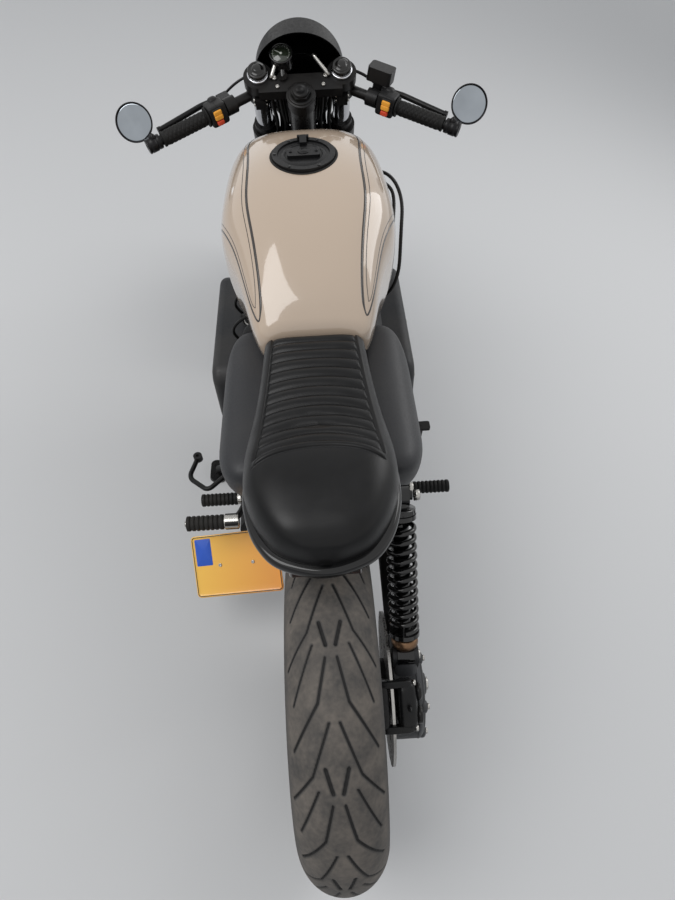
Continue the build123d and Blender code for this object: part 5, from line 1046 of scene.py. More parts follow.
def on_tank(places, side):
    """A smooth line over the tank through (place along, v) pairs, and the surface's normals there."""
    yv = smooth_path(places, 260)
    y, v = yv[:, 0], yv[:, 1] * side
    step = 1e-4
    along = tank_point(y + step, v) - tank_point(y - step, v)
    over = tank_point(y, v + step) - tank_point(y, v - step)
    normals = unit(np.cross(over, along))
    middle = tank_point(y, v)
    outwards = np.sign(np.sum(normals * (middle - (0, 0.8, 0.80)), -1))
    return middle, normals * outwards[:, None]


STRIPES = {
    # name: (places as (along, v), half width at the ends, half width in the middle)
    "shoulder": (
        [(1.048, 0.42), (1.002, 0.505), (0.890, 0.452), (0.755, 0.446), (0.640, 0.500), (0.565, 0.560),
         (0.534, 0.66)], 0.0015, 0.0027),
    "shoulder_fine": (
        [(1.040, 0.47), (1.000, 0.555), (0.890, 0.500), (0.755, 0.492), (0.650, 0.545), (0.585, 0.605),
         (0.552, 0.69)], 0.0006, 0.0007),
    "flank": (
        [(0.534, 0.66), (0.545, 0.76), (0.600, 0.790), (0.686, 0.770), (0.768, 0.870), (0.850, 1.03),
         (0.930, 1.05), (1.000, 0.93), (1.042, 0.68), (1.048, 0.42)], 0.0015, 0.0020),
    "flank_fine": (
        [(0.552, 0.69), (0.566, 0.735), (0.610, 0.745), (0.690, 0.725), (0.768, 0.820), (0.850, 0.965),
         (0.925, 0.985), (0.990, 0.87), (1.030, 0.64), (1.040, 0.47)], 0.0006, 0.0007),
}
coated("stripe_vinyl", shade(40, 34, 30), 0.22, grain=0.000004, coat=0.8, dust=0.05)
bands = []
for places, thin, thick in STRIPES.values():
    for side in (-1, 1):
        middle, normals = on_tank(places, side)
        t = np.linspace(0, 1, len(middle))
        half = thin + (thick - thin) * ease(np.minimum(t, 1 - t) / 0.12)
        bands.append(ribbon(middle, normals, half))
piece("tank_stripes", bands, "chassis", "stripe_vinyl")
print("bands:", len(bands))

# %% [markdown]
# ## Side covers
#
# The two black panels below the seat are moulded shells. Their outline is a polygon with round
# corners, and they swell outwards like a dome with a flat top. The dome's size falls with the
# distance out by (1 - w^4.5)^(1/2.2). Two small tabs hold each of them to the seat rails.
# %% Build the side covers
COVER_OUTLINE = mm(
    # place along, height
    (650, 698), (655, 640), (560, 520), (420, 460), (335, 500), (262, 640), (250, 714),
)
COVER_MIDDLE = np.array([0.455, 0.565])
COVER_INNER, COVER_SWELL = 0.099, 0.1008


def even_loop(points, count):
    """A closed line through points, with its points spread evenly."""
    closed = np.concatenate([points, points[:1]])
    run = measured(closed)
    return line_at(closed, run, np.linspace(0, run[-1], count, endpoint=False))


loop = np.concatenate([COVER_OUTLINE[-1:], COVER_OUTLINE, COVER_OUTLINE[:1]])
cover_line = even_loop(rounded(loop, 0.050, 10)[1:-1], 180)
w = 1 - (1 - np.linspace(0, 1, 46)) ** 2.2
size = np.concatenate([[0.02, 0.985], (1 - w**4.5) ** (1 / 2.2)])
out = COVER_SWELL * np.concatenate([[0.0, 0.0], 0.02 + 0.98 * w])
shells = []
for side in (-1, 1):
    flat = COVER_MIDDLE + (cover_line - COVER_MIDDLE) * np.maximum(size, 0.004)[:, None, None]
    x = np.broadcast_to(side * (COVER_INNER + out)[:, None], flat.shape[:2])
    shells.append(np.concatenate([x[..., None], flat], -1))
    for y in (0.300, 0.385):
        shells.append(pillow((side * 0.0965, y, 0.718), (0.0065, 0.009, 0.022), power=0.2))
covers = piece("cover_shells", shells, "chassis", "cover_black", replaces=["side_covers"])
print("side cover points:", len(covers.data.vertices))

# %% [markdown]
# ## The front end's own directions
#
# Everything that turns with the handlebars is placed along the steering axis. A point is given by
# its height up the axis, its distance forwards from it, and its distance to the right.
# %% Places on the fork and on the bars
steer_ahead = np.array([0, steer_axis[2], -steer_axis[1]])
TUBE_AHEAD, TUBE_SIDE = 0.0572, 0.095
CLIP_ON_HEIGHT = 0.704
BAR_SWEEP, BAR_DROP = math.radians(26), math.radians(12)
BAR_LENGTH = 0.262


def on_fork(height, ahead=0.0, side=0.0):
    """Steering base + height x axis + ahead x forwards + side x right."""
    return steer_base + height * steer_axis + ahead * steer_ahead + np.array([side, 0, 0])


def bar_way(side):
    """A bar's direction: out, swept back 26 degrees and dropped 12 degrees."""
    out, back = math.cos(BAR_SWEEP), math.sin(BAR_SWEEP)
    return unit([side * out, -back, -math.tan(BAR_DROP) * out])


def bar_axes(side):
    """Three directions at a bar: outwards along it, back to the rider, and up."""
    across, up = frame_of(bar_way(side))
    return np.array([bar_way(side), -side * across, up])


def on_bar(side, far, back=0.0, rise=0.0):
    """A point on a bar: far along it from its clamp, then back towards the rider and upwards."""
    return on_fork(CLIP_ON_HEIGHT, TUBE_AHEAD, side * TUBE_SIDE) + (far, back, rise) @ bar_axes(side)


print("bar ends:", on_bar(-1, BAR_LENGTH).round(3), on_bar(1, BAR_LENGTH).round(3))

# %% [markdown]
# ## Grips
#
# Each grip is a rubber sleeve with a diamond pattern: two sets of grooves that wind round it in
# opposite senses. The radius is a base plus the root of the lower of two waves, so it drops wherever
# either wave is zero, and it swells to a collar at both ends.
# %% Mould the grips
GRIP_START, GRIP_LENGTH = 0.140, 0.118
TWIST = 11 * np.pi
sleeves = []
t = np.linspace(0, 1, 190)[:, None]
a = circle(108)[None]
for side in (-1, 1):
    diamonds = np.minimum(np.abs(np.sin(3 * a + TWIST * t)), np.abs(np.sin(3 * a - TWIST * t))) ** 0.5
    within = ease((t - 0.05) / 0.03) * ease((0.93 - t) / 0.03)
    radius = 0.0152 + 0.0015 * diamonds * within
    radius = radius + 0.0062 * ease((0.045 - t) / 0.012) + 0.0014 * ease((t - 0.945) / 0.01)
    radius = radius * (1 - 0.12 * ease((0.004 - t) / 0.004)) * (1 - 0.10 * ease((t - 0.996) / 0.004))
    way, back, up = bar_axes(side)
    ring = np.cos(a)[..., None] * back + np.sin(a)[..., None] * up
    sleeves.append(on_bar(side, GRIP_START) + (GRIP_LENGTH * t)[..., None] * way + radius[..., None] * ring)
grips = piece("grip_sleeves", sleeves, "steering", "grip_rubber", replaces=["grips"])
print("grip points:", len(grips.data.vertices))

# %% [markdown]
# ## Switches
#
# The switch boxes are two moulded halves round the bar. The rider's side carries a broad amber
# rocker for the indicators, and a red push button sits below it. A round turret stands up in front.
# %% Build the switch boxes and their buttons
SWITCH_MIDDLE = 0.117
SOFT_BOX = (14, 28)
HOUSING = [
    # distances from the middle: along the bar, back and up; half sizes, power, rows, columns
    (0.0, 0.0, 0.0, (0.0220, 0.0205, 0.0235), 0.24, 26, 64),
    (0.0, 0.0, 0.0, (0.0006, 0.0212, 0.0242), 0.24, 8, 64),
    (-0.004, -0.016, 0.012, (0.013, 0.012, 0.016), 0.7, 18, 40),
    (0.003, 0.018, 0.006, (0.0125, 0.006, 0.0125), 0.3, *SOFT_BOX),
]
ROCKERS = [(0.003, 0.0215, 0.0105, (0.0100, 0.0062, 0.0052), 0.35, *SOFT_BOX),
           (0.003, 0.0225, 0.0005, (0.0100, 0.0062, 0.0056), 0.35, *SOFT_BOX)]
BUTTONS = [(0.003, 0.0235, -0.0120, (0.0085, 0.0058, 0.0055), 0.45, *SOFT_BOX)]


def at_switches(table):
    """Soft boxes at both ends of the bars, one for each row of a table like HOUSING."""
    return [
        pillow(on_bar(side, SWITCH_MIDDLE + far, back, rise), half, bar_axes(side), *shape)
        for side in (-1, 1) for far, back, rise, half, *shape in table
    ]


boxes = piece("switch_housings", at_switches(HOUSING), "steering", "plastic_black", replaces=["switch_boxes"])
coated("amber_button", shade(236, 164, 62), 0.38, grain=0.00002, scale=500, dust=0.05)
coated("red_button", shade(206, 74, 48), 0.35, grain=0.00002, scale=500, dust=0.05)
piece("amber_rockers", at_switches(ROCKERS), "steering", "amber_button")
piece("red_buttons", at_switches(BUTTONS), "steering", "red_button")
print("switch box points:", len(boxes.data.vertices))

# %% [markdown]
# ## Bar-end mirrors
#
# A turned weight closes each bar, and a thin stem carries a round mirror. Its back is a shallow
# dome, its rim stands a little above the glass, and the glass is slightly curved outwards.
# %% Turn the weights, stems and mirrors
MIRROR_FACE = unit([0, -0.9, 0.436])
MIRROR_SIDES = 72
# Radius and distance along the bar from the grip's end
WEIGHT = mm(
    (0.5, 0), (14.8, 0), (16, 1.2), (16, 9), (14.8, 9.8), (14.8, 11.2), (16.8, 12), (16.8, 26.2),
    (15.5, 27.2), (15.5, 28.5), (16.5, 29.2), (16.5, 32.5), (15, 34), (6, 34), (5.5, 32.5),
    (0.5, 32.5),
)
STEM_FOOT = mm((0.5, -0.5), (7, -0.5), (8.5, 4), (0.5, 12))
# Radius and distance in front of the mirror's middle
DOME = mm(
    (0.3, -15), (10, -14.7), (20, -13.7), (30, -11.2), (37, -7.6), (40.5, -3.5), (42, 0.6),
    (41.8, 1.6), (40.5, 1.8), (39.3, 0.8), (39, -1), (0.3, -1),
)
ray = np.linspace(0.0003, 0.0390, 16)
curve = 0.0012 - 0.0016 * (ray / 0.039) ** 2
GLASS = np.array([*zip(ray, curve), (0.0390, -0.0009), (0.0003, -0.0009)])
weights, glasses = [], []
for side in (-1, 1):
    foot = on_bar(side, 0.2793)
    centre = foot + np.array([side * 0.0422, 0.039, 0.032])
    inwards = foot - centre
    inwards = unit(inwards - (inwards @ MIRROR_FACE) * MIRROR_FACE)
    neck = [foot, foot + (side * 0.001, 0.010, 0.012), centre + 0.041 * inwards - 0.011 * MIRROR_FACE,
            centre + 0.024 * inwards - 0.012 * MIRROR_FACE]
    weights += [
        lathe(WEIGHT, on_bar(side, 0.2623), bar_way(side), 48),
        tube(smooth_path(neck, 30), 0.0045, 16),
        lathe(STEM_FOOT, foot + (0, 0, 0.0125), (0, 0, 1), 24),
        lathe(DOME, centre, MIRROR_FACE, MIRROR_SIDES),
    ]
    glasses.append(lathe(GLASS, centre, MIRROR_FACE, MIRROR_SIDES))
weights = piece("bar_end_weights", weights, "steering", "mirror_black", replaces=["bar_end_mirrors"])
metal("mirror_glass", shade(150, 156, 162), 0.03, scale=5)
glasses = piece("mirror_glasses", glasses, "steering", "mirror_glass")
print("mirror points:", len(weights.data.vertices) + len(glasses.data.vertices))

# %% [markdown]
# ## Caps, collars and the steering nut
#
# The fork tubes end in black turned caps above bright collars. Between them sits the big stem nut
# on its stepped washers. All of them are outlines turned round the steering axis.
# %% Turn the caps and the nut
FORK_TOP, YOKE_TOP = 0.757, 0.749
CAP = mm(
    (0.4, 17), (8.5, 17), (10.4, 16), (11, 11.8), (13.2, 11.8), (15, 10.4), (16.5, 10.4),
    (17.8, 12), (21.2, 11.2), (22.2, 9.6), (22.2, 1.6), (21.2, 0.4), (0.4, 0.4),
)
COLLAR = mm((20.6, -8.8), (23.6, -8.2), (24.4, -6.6), (24.4, -2.2), (23.6, -0.6), (20.6, -0.2))
WASHER = mm(
    (16.5, 0.2), (33, 0.2), (33.5, 1.2), (33.5, 3), (32.5, 3.6), (29, 3.6), (28.5, 4.4),
    (28.5, 6.6), (27.7, 7.2), (24, 7.2), (16.5, 7.2),
)
NUT = mm((0.4, 16.5), (7.5, 16.5), (8.5, 19.5), (15, 19.5), (17.2, 18.5), (18, 16), (18, 14.2), (0.4, 14.2))
tops = [on_fork(FORK_TOP, TUBE_AHEAD, side * TUBE_SIDE) for side in (-1, 1)]
nuts = [hoop(WASHER, on_fork(YOKE_TOP), steer_axis, 72), lathe(NUT, on_fork(YOKE_TOP), steer_axis, 60)]
piece("fork_caps", [lathe(CAP, at, steer_axis, 60) for at in tops], "steering", "fork_black")
piece("fork_collars", [hoop(COLLAR, at, steer_axis, 60) for at in tops], "steering", "fork_chrome")
piece("stem_washers", nuts, "steering", "alloy_black")
print("turned pieces at the fork:", 2 * len(tops) + len(nuts))

# %% [markdown]
# ## Screws
#
# Small screws catch the light all over a motorcycle. One function makes any of them: a round head
# with a hexagonal socket, set at a point and along an axis. The socket is the outline's inner part,
# pulled in to six sides.
# %% A socket screw
def screw(at, axis, radius=0.0045, height=0.0042):
    """A turned head whose inner rings take the shape of a hexagon: radius over the cosine of the
    angle from the nearest flat's middle."""
    outline = [(1.0, -0.3), (1.0, 0.72), (0.86, 1.0), (0.62, 1.0), (0.56, 0.95), (0.56, 0.35), (0.01, 0.35)]
    points = lathe(np.array(outline) * (radius, height), at, axis, 24)
    a = circle(24)
    flat = np.cos(np.pi / 6) / np.cos((a % (np.pi / 3)) - np.pi / 6)
    stem = np.asarray(at) + (points - at) @ unit(axis)[:, None] * unit(axis)
    hexagonal = stem + (points - stem) * flat[None, :, None]
    inner = (np.arange(len(outline)) >= 4)[:, None, None]
    return patch(np.where(inner, hexagonal, points))


screws = []
for side in (-1, 1):
    for height in (0.697, 0.711):
        for face in (-1, 1):
            at = on_fork(height, TUBE_AHEAD - 0.031, side * TUBE_SIDE + face * 0.012)
            screws.append(screw(at, (face, 0, 0), 0.0038))
    yoke_ahead = TUBE_AHEAD * 0.62
    screws.append(screw(on_fork(YOKE_TOP, yoke_ahead + 0.012, side * 0.058), steer_axis, 0.0052, 0.005))
    screws.append(screw(on_fork(YOKE_TOP, yoke_ahead - 0.010, side * 0.052), steer_axis, 0.0045))
piece("fork_screws", screws, "steering", "screw_steel")
print("screws at the fork:", len(screws))

# %% [markdown]
# ## The gauge
#
# The small round gauge has a turned bezel, a dark greenish dial with printed ticks, and a pointer.
# The ticks are thin bars set round the dial. There are no words on it.
# %% Bezel, dial and ticks
GAUGE_NORMAL = unit([0, -math.sin(math.radians(30)), math.cos(math.radians(30))])
gauge_at = on_fork(0.7493, 0.0492, -0.039) + 0.035 * steer_ahead + 0.0303 * steer_axis
BEZEL = mm((25.2, -4), (26.2, 0), (26.2, 2.2), (25, 3.2), (22.8, 3), (21.8, 1.2), (21.8, 0.3), (24, 0.3))
DIAL = mm((0.4, 1.1), (21.8, 0.9), (22.2, 0.1), (0.4, 0.1))
HUB = mm((0.3, 2.6), (2.6, 2.2), (3, 1), (0.3, 1))
piece("gauge_bezel", [hoop(BEZEL, gauge_at, GAUGE_NORMAL, 72)], "steering", "gauge_black")
coated("gauge_dial", shade(38, 44, 34), 0.25, grain=0.00001, coat=0.9, dust=0.1)
piece("gauge_dial", [lathe(DIAL, gauge_at, GAUGE_NORMAL, 60)], "steering", "gauge_dial")
across, up = frame_of(GAUGE_NORMAL)


def dial_bar(way, far, lift, half, *shape):
    """A thin bar that points along way: far from the dial's middle and a little above it."""
    axes = np.array([way, np.cross(GAUGE_NORMAL, way), GAUGE_NORMAL])
    return pillow(gauge_at + far * way + lift * GAUGE_NORMAL, half, axes, *shape)


ticks = []
for k, angle in enumerate(np.radians(np.linspace(-130, 130, 27))):
    way = math.sin(angle) * across + math.cos(angle) * up
    ticks.append(dial_bar(way, 0.0188, 0.0012, (0.0009 if k % 2 else 0.0017, 0.0003, 0.0002), 0.4, 5, 8))
ticks.append(dial_bar(unit(-0.8 * across + 0.45 * up), 0.007, 0.0016, (0.010, 0.0006, 0.0004), 0.6, 7, 12))
ticks.append(lathe(HUB, gauge_at, GAUGE_NORMAL, 20))
coated("dial_print", shade(188, 190, 182), 0.5, grain=0.00001, dust=0.1)
piece("gauge_ticks", ticks, "steering", "dial_print")
print("ticks:", len(ticks))

# %% [markdown]
# ## The filler cap
#
# The cap sits in a black ring held by small screws. On the cap's bridge is a round lock whose
# cover turns aside. The lock and its screws ride on the lid, so they swing up with it.
# %% Lock, dish and screws
RING_TOP = 0.957
UPWARDS = (0, 0, 1)
lid_at = np.array([*FILLER, RING_TOP - 0.003])
LOCK = mm((0.4, 0.6), (8.5, 0.6), (9.2, 0), (10, 0.6), (11.8, 0.6), (12.5, -0.2), (12.5, -2), (0.4, -2))
DISH = mm((37, 0.2), (38.5, 1.4), (40.5, 1.4), (44, 0.2), (49, -0.2), (49, -1.5), (37, -1.5))
lock_parts = [
    lathe(LOCK, lid_at + (0, 0.002, 0.0068), UPWARDS, 48),
    pillow(lid_at + (0, 0.002, 0.0076), (0.0008, 0.0045, 0.0006), power=0.4, rows=7, columns=16),
    *(screw(lid_at + (x, 0.0, 0.0062), UPWARDS, 0.0032, 0.0016) for x in (-0.026, 0.026)),
    hoop(DISH, lid_at, UPWARDS, 96),
]
piece("lid_lock", lock_parts, "filler_lid", "filler_black")
SCREW_CIRCLE = 0.0585
ring_screws = []
for angle in np.radians(150 + 60 * np.arange(5)):
    at = (SCREW_CIRCLE * math.sin(angle), FILLER[1] + SCREW_CIRCLE * math.cos(angle), RING_TOP)
    ring_screws.append(screw(at, UPWARDS, 0.0031, 0.0016))
piece("ring_screws", ring_screws, "chassis", "fork_black")
print("screws round the filler:", len(ring_screws))

# %% [markdown]
# ## The plate
#
# The number plate is blank: a pressed yellow sheet with a thin black border and a plain blue field
# at one end. The sheet is a grid of rounded rectangles that shrink towards its middle, so its edge
# can be folded over and its border raised. Its yellow grows darker and more orange from the plate's
# left end towards its right end.
# %% Press the plate
PLATE_AT = np.array([-0.213, 0.309, 0.292])
plate_out = unit([-0.213, -0.599, 0.772])
plate_right = np.array([0.974, -0.071, 0.214])
plate_right = unit(plate_right - plate_out * np.dot(plate_right, plate_out))
plate_up = np.cross(plate_out, plate_right)
PLATE_HALF = np.array([0.105, 0.0715])


def plate_loop(inset, height, half=PLATE_HALF, centre=(0, 0), corner=0.009):
    """A rounded rectangle on the plate: corners of a quarter circle joined by straight runs."""
    reach = np.maximum(np.asarray(half) - inset, 0.0004)
    corner = min(max(corner - inset, 0.001), reach.min())
    a = np.linspace(0, np.pi / 2, 7)
    quarter = corner * np.stack([np.cos(a), np.sin(a)], -1)
    turns = [((1, 1), 1), ((-1, 1), -1), ((-1, -1), 1), ((1, -1), -1)]
    flat = np.concatenate([(reach - corner) * sign + quarter[::order] * sign for sign, order in turns])
    flat = even_loop(flat, 120) + centre
    return PLATE_AT + flat[:, :1] * plate_right + flat[:, 1:] * plate_up + height * plate_out


def plate_rings(rings, **more):
    """Stacks rounded rectangles given as (inset, height) pairs."""
    return np.stack([plate_loop(inset, height, **more) for inset, height in rings])


coated("plate_blue", shade(52, 92, 190), 0.35, grain=0.00001, scale=900, dust=0.08)
plate_yellow = plain("plate_yellow", shade(236, 176, 62), 0.34, coat=0.3)
place = plate_yellow.node_tree.nodes.new("ShaderNodeTexCoord")
split = plate_yellow.node_tree.nodes.new("ShaderNodeSeparateXYZ")
plate_yellow.node_tree.links.new(place.outputs["Object"], split.inputs["Vector"])
plate_ends = [parked(PLATE_AT + side * PLATE_HALF[0] * plate_right)[0] for side in (-1, 1)]
end_to_end_tone = spread(plate_yellow, split.outputs["X"], *plate_ends)
tint(plate_yellow, end_to_end_tone, shade(243, 190, 74), shade(232, 152, 58))
roughen(plate_yellow, pattern(plate_yellow, scale=90, detail=4), 0.28, 0.42)
relief(plate_yellow, (pattern(plate_yellow, kind="Voronoi", scale=1500), 0.00003))

SHEET = mm(
    (200, -1.5), (2, -1.5), (0.4, -1.2), (0, -0.6), (0, 0.2), (0.6, 0.8), (3, 1.2), (5.2, 1),
    (6.2, 0.3), (7.5, 0), (20, 0), (200, 0),
)
BORDER = mm((2.2, 1.3), (3.2, 1.45), (4.2, 1.3), (4.2, 0.2), (2.2, 0.2))
FIELD = mm((200, -0.8), (0, -0.8), (0, 0.2), (0.3, 0.4), (200, 0.4))
field = plate_rings(FIELD, half=np.array([0.0195, 0.031]), centre=(-0.0770, 0.0325), corner=0.002)
plate_screws = [screw(PLATE_AT + x * plate_right, plate_out, 0.004, 0.0022) for x in (-0.04, 0.04)]
piece("plate_sheet", [plate_rings(SHEET)], "chassis", "plate_yellow", replaces=["number_plate"])
border = patch(plate_rings(BORDER), closed_rows=True)
piece("plate_border", [border], "chassis", "stripe_vinyl")
piece("plate_field", [field], "chassis", "plate_blue")
piece("plate_screws", plate_screws, "chassis", "screw_steel")
print("plate:", [round(float(2 * h), 3) for h in PLATE_HALF])

# %% [markdown]
# ## The rear lamp
#
# The lamp below the tail rim has a smoked lens that looks almost black until it is lit. A row of
# round reflectors shows faintly through it as a cell pattern.
# %% Smoke the lens
lens = coated("lamp_red", shade(36, 7, 7), 0.12, grain=0.000005, coat=1.0, dust=0.05)
cells = pattern(lens, kind="Voronoi", scale=160)
tint(lens, spread(lens, cells, 0.0, 0.6), shade(46, 9, 9), shade(22, 5, 5))
dress("rear_lamp", "lamp_red")

# %% [markdown]
# ## Control cables
#
# Two black looms leave the frame beside the steering head, swing round the outside of the tank and
# go in below it. Their route is a short list of corners. A smooth curve that leaves each corner
# inside it, a quadratic B-spline, gives the even bow of a cable. Fine ribs show its outer winding.
# %% Bow the cables round the tank
def bow(corners):
    """Between the middles of neighbouring runs: (1-t)^2 a + 2t(1-t) corner + t^2 b, ends kept."""
    c = np.asarray(corners, float)
    middle = (c[:-1] + c[1:]) / 2
    t = np.linspace(0, 1, 14, endpoint=False)[:, None, None]
    arcs = (1 - t) ** 2 * middle[:-1] + 2 * t * (1 - t) * c[1:-1] + t**2 * middle[1:]
    return np.concatenate([c[:1], arcs.transpose(1, 0, 2).reshape(-1, 3), middle[-1:], c[-1:]])


DOWN_TUBE = np.array([(0.026, 1.17545, 0.79766), (0.085, 1.062, 0.575)])
looms = []
down_way = unit(DOWN_TUBE[1] - DOWN_TUBE[0])
for down, end_y, tuck in ((0.086, 0.780, 0.0), (0.122, 0.830, 0.012)):
    leave = DOWN_TUBE[0] + down * down_way + (0.0169, 0, 0)
    widest = 0.815 - 1.5 * tuck
    corners = [leave, (0.118 - tuck, leave[1], leave[2]), (0.168 - tuck, 1.085, widest - 0.022),
               (0.201 - tuck, 1.010, widest), (0.213 - tuck, end_y + 0.130, widest),
               (0.202 - tuck, end_y + 0.056, widest - 0.034), (0.196 - tuck, end_y + 0.008, widest - 0.124),
               (0.158 - tuck, end_y, 0.640), (0.0523, end_y, 0.640)]
    line = bow(corners)
    run = measured(line)
    at = np.linspace(0, run[-1], 420)
    line = line_at(line, run, at)
    looms.append(tube(line, 0.0040 + 0.00018 * np.sin(at / 0.0011), 12))
piece("cable_looms", looms, "chassis", "cable_rubber", replaces=["control_cables"])
print("loom length:", round(float(run[-1]), 3))

# %% [markdown]
# ## Footrests
#
# The rider's pegs have rubber sleeves with turned ribs. The pillion's peg on the left is a thicker
# rubber on a bright knurled hinge. A knurl is the same idea as the grips' diamonds, only finer.
# %% Rubber the pegs
def ribbed(start, way, length, radius, ribs):
    """A sleeve along a line: radius less a round groove at each step, closed at both ends."""
    t = np.linspace(0, 1, ribs * 10 + 1)
    groove = np.abs(np.cos(np.pi * ribs * t)) ** 6
    r = radius - 0.0022 * groove * (t > 0.02) * (t < 0.98)
    r[0] = r[-1] = radius - 0.002
    return lathe([(0.0005, 0), *zip(r, t * length), (0.0005, length)], start, way, 36)


PEG_Y, PEG_Z = 0.462, 0.330
PILLION_Y, PILLION_Z = 0.343, 0.420
sleeves = [ribbed((side * 0.210, PEG_Y, PEG_Z), (side, 0, 0), 0.0855, 0.0152, 9) for side in (-1, 1)]
sleeves.append(ribbed((-0.222, PILLION_Y, PILLION_Z), (-1, 0, 0), 0.080, 0.0166, 8))
piece("peg_sleeves", sleeves, "chassis", "peg_rubber")
t = np.linspace(0, 1, 60)[:, None]
a = circle(72)[None]
knurl = 0.0155 + 0.0005 * np.minimum(np.abs(np.sin(12 * a + 20 * t)), np.abs(np.sin(12 * a - 20 * t)))
knurl = knurl * (1 - 0.97 * ((t < 0.001) | (t > 0.999)))
x = -0.189 - 0.031 * t + 0 * a
PEG_FLANGE = mm((0.5, -6), (13.6, -6), (14.2, -4), (14.2, 6), (13, 7), (0.5, 7))
pins = [
    np.stack([x, PILLION_Y + knurl * np.cos(a), PILLION_Z + knurl * np.sin(a)], -1),
    *(lathe(PEG_FLANGE, (side * 0.205, PEG_Y, PEG_Z), (side, 0, 0), 32) for side in (-1, 1)),
    screw((-0.3025, PILLION_Y, PILLION_Z), (-1, 0, 0), 0.006, 0.004),
]
for y, z in ((0.510, 0.396), (0.548, 0.396), (0.552, 0.352), (0.524, 0.330)):
    pins.append(screw((-0.106, y + 0.012, z - 0.010), (-1, 0, 0), 0.0058, 0.005))
piece("peg_hinges", pins, "chassis", "screw_steel")
print("peg pieces:", len(sleeves) + len(pins))

# %% [markdown]
# ## Shock absorber
#
# The damper has a turned body, a preload ring with notches above the spring, and a bronze-coloured
# fork at its foot. The coil itself is the solid part's own helix.
# %% Turn the damper's details
SHOCK_TOP, SHOCK_FOOT = np.array([0.131, 0.205, 0.690]), np.array([0.131, 0.017, 0.452])
shock_way = unit(SHOCK_FOOT - SHOCK_TOP)
across, up = frame_of(shock_way)
t = np.linspace(0, 1, 16)[:, None]
a = circle(96)[None]
notch = 0.0262 - 0.0016 * (np.cos(12 * a) > 0.35) * (t > 0.15) * (t < 0.85)
notch = notch * np.where((t < 0.01) | (t > 0.99), 0.5, 1)
ring = np.cos(a)[..., None] * across + np.sin(a)[..., None] * up
turned_ring = SHOCK_TOP + (0.0215 + 0.010 * t)[..., None] * shock_way + notch[..., None] * ring
DAMPER = mm(
    (0.4, 10), (15, 10), (16.5, 14), (16.5, 21.5), (14.2, 23.5), (14.2, 150), (15, 152), (15, 156),
    (0.4, 156),
)
FOOT = mm((0.4, -37), (20.5, -37), (23.5, -34), (24, -26), (21.5, -20), (16.5, -16), (12, -13), (0.4, -13))
piece("damper_body", [turned_ring, lathe(DAMPER, SHOCK_TOP, shock_way, 40)], "chassis", "shock_black")
metal("fork_bronze", shade(122, 96, 74), 0.36)
piece("shock_foot", [lathe(FOOT, SHOCK_FOOT, shock_way, 48)], "chassis", "fork_bronze")
ends = [screw(SHOCK_TOP + (0.026, 0, 0), (1, 0, 0), 0.0095, 0.008),
        screw(SHOCK_FOOT + (0.021, 0, 0), (1, 0, 0), 0.0085, 0.006)]
piece("shock_bolts", ends, "chassis", "screw_steel")
print("shock length between its eyes:", round(float(np.linalg.norm(SHOCK_FOOT - SHOCK_TOP)), 3))

# %% [markdown]
# ## Final drive and rear caliper
#
# The drive's casting swells round the bevel gears, with a ring of screws and a plug. The caliper is
# a block with soft corners, two bosses for its pistons and a bright bleed nipple.
# %% Shape the rear castings
AXLE = np.array([0, 0, REAR_RADIUS])
SWELL = mm(
    (0.4, 174.5), (18, 174.5), (20, 173), (21.5, 170), (36, 169), (40, 167), (43, 165.5),
    (64, 164.5), (80, 162.5), (90.5, 158), (96, 153), (97, 150), (96, 148), (0.4, 148),
)
PISTON = mm((0.4, 9.5), (13, 9.5), (15, 8), (15, 0), (0.4, 0))
NIPPLE = mm((0.4, 20), (2.2, 20), (2.2, 11), (4, 10), (4, 0), (0.4, 0))
angles = np.radians(np.arange(15, 375, 60))
lugs = 0.084 * np.column_stack([0 * angles, np.cos(angles), np.sin(angles)])
fin_axes = np.array([(1, 0, 0), shock_way, np.cross((1, 0, 0), shock_way)])
castings = [
    lathe(SWELL, AXLE, (1, 0, 0), 96),
    pillow((0.131, -0.012, 0.405), (0.0215, 0.052, 0.0165), fin_axes, 0.45, 24, 48),
]
for lug in lugs:
    lug_at = AXLE + (0.158, 0, 0) + lug
    castings.append(pillow(lug_at, (0.0085, 0.012, 0.012), power=0.8, rows=10, columns=20))
coated("casting_grey", shade(66, 67, 69), 0.42, metallic=0.3, dust=0.3, grain=0.00006)
piece("drive_casting", castings, "chassis", "casting_grey")
bolts = [screw(AXLE + (0.1655, 0, 0) + lug, (1, 0, 0), 0.0055, 0.004) for lug in lugs]
bolts.append(screw(AXLE + (0.1745, 0, 0), (1, 0, 0), 0.012, 0.005))
caliper_turn = math.radians(122)
radial = np.array([0, math.cos(caliper_turn), math.sin(caliper_turn)])
caliper_axes = np.array([(1, 0, 0), radial, np.cross((1, 0, 0), radial)])
caliper_at = AXLE + 0.122 * radial
halves = [
    pillow(caliper_at + (x, 0, 0), (half, 0.0255, 0.0430), caliper_axes, 0.55, 24, 52)
    for x, half in ((0.083, 0.0115), (0.124, 0.0185))
]
for shift in (-0.020, 0.020):
    along = caliper_axes[2]
    bridge = caliper_at + (0.105, 0, 0) + shift * 1.9 * along + 0.012 * radial
    halves.append(pillow(bridge, (0.030, 0.0105, 0.0070), caliper_axes, 0.5))
    halves.append(lathe(PISTON, caliper_at + (0.1415, 0, 0) + shift * along, (1, 0, 0), 32))
    at = caliper_at + (0.1365, 0, 0) + 1.9 * shift * along + 0.012 * radial
    bolts.append(screw(at, (1, 0, 0), 0.0055, 0.005))
halves.append(lathe(NIPPLE, caliper_at + 0.024 * radial + (0.127, 0, 0), radial, 16))
piece("rear_caliper_halves", halves, "chassis", "caliper_black", replaces=["rear_caliper"])
piece("rear_bolts", bolts, "chassis", "screw_steel")
print("rear bolts:", len(bolts))

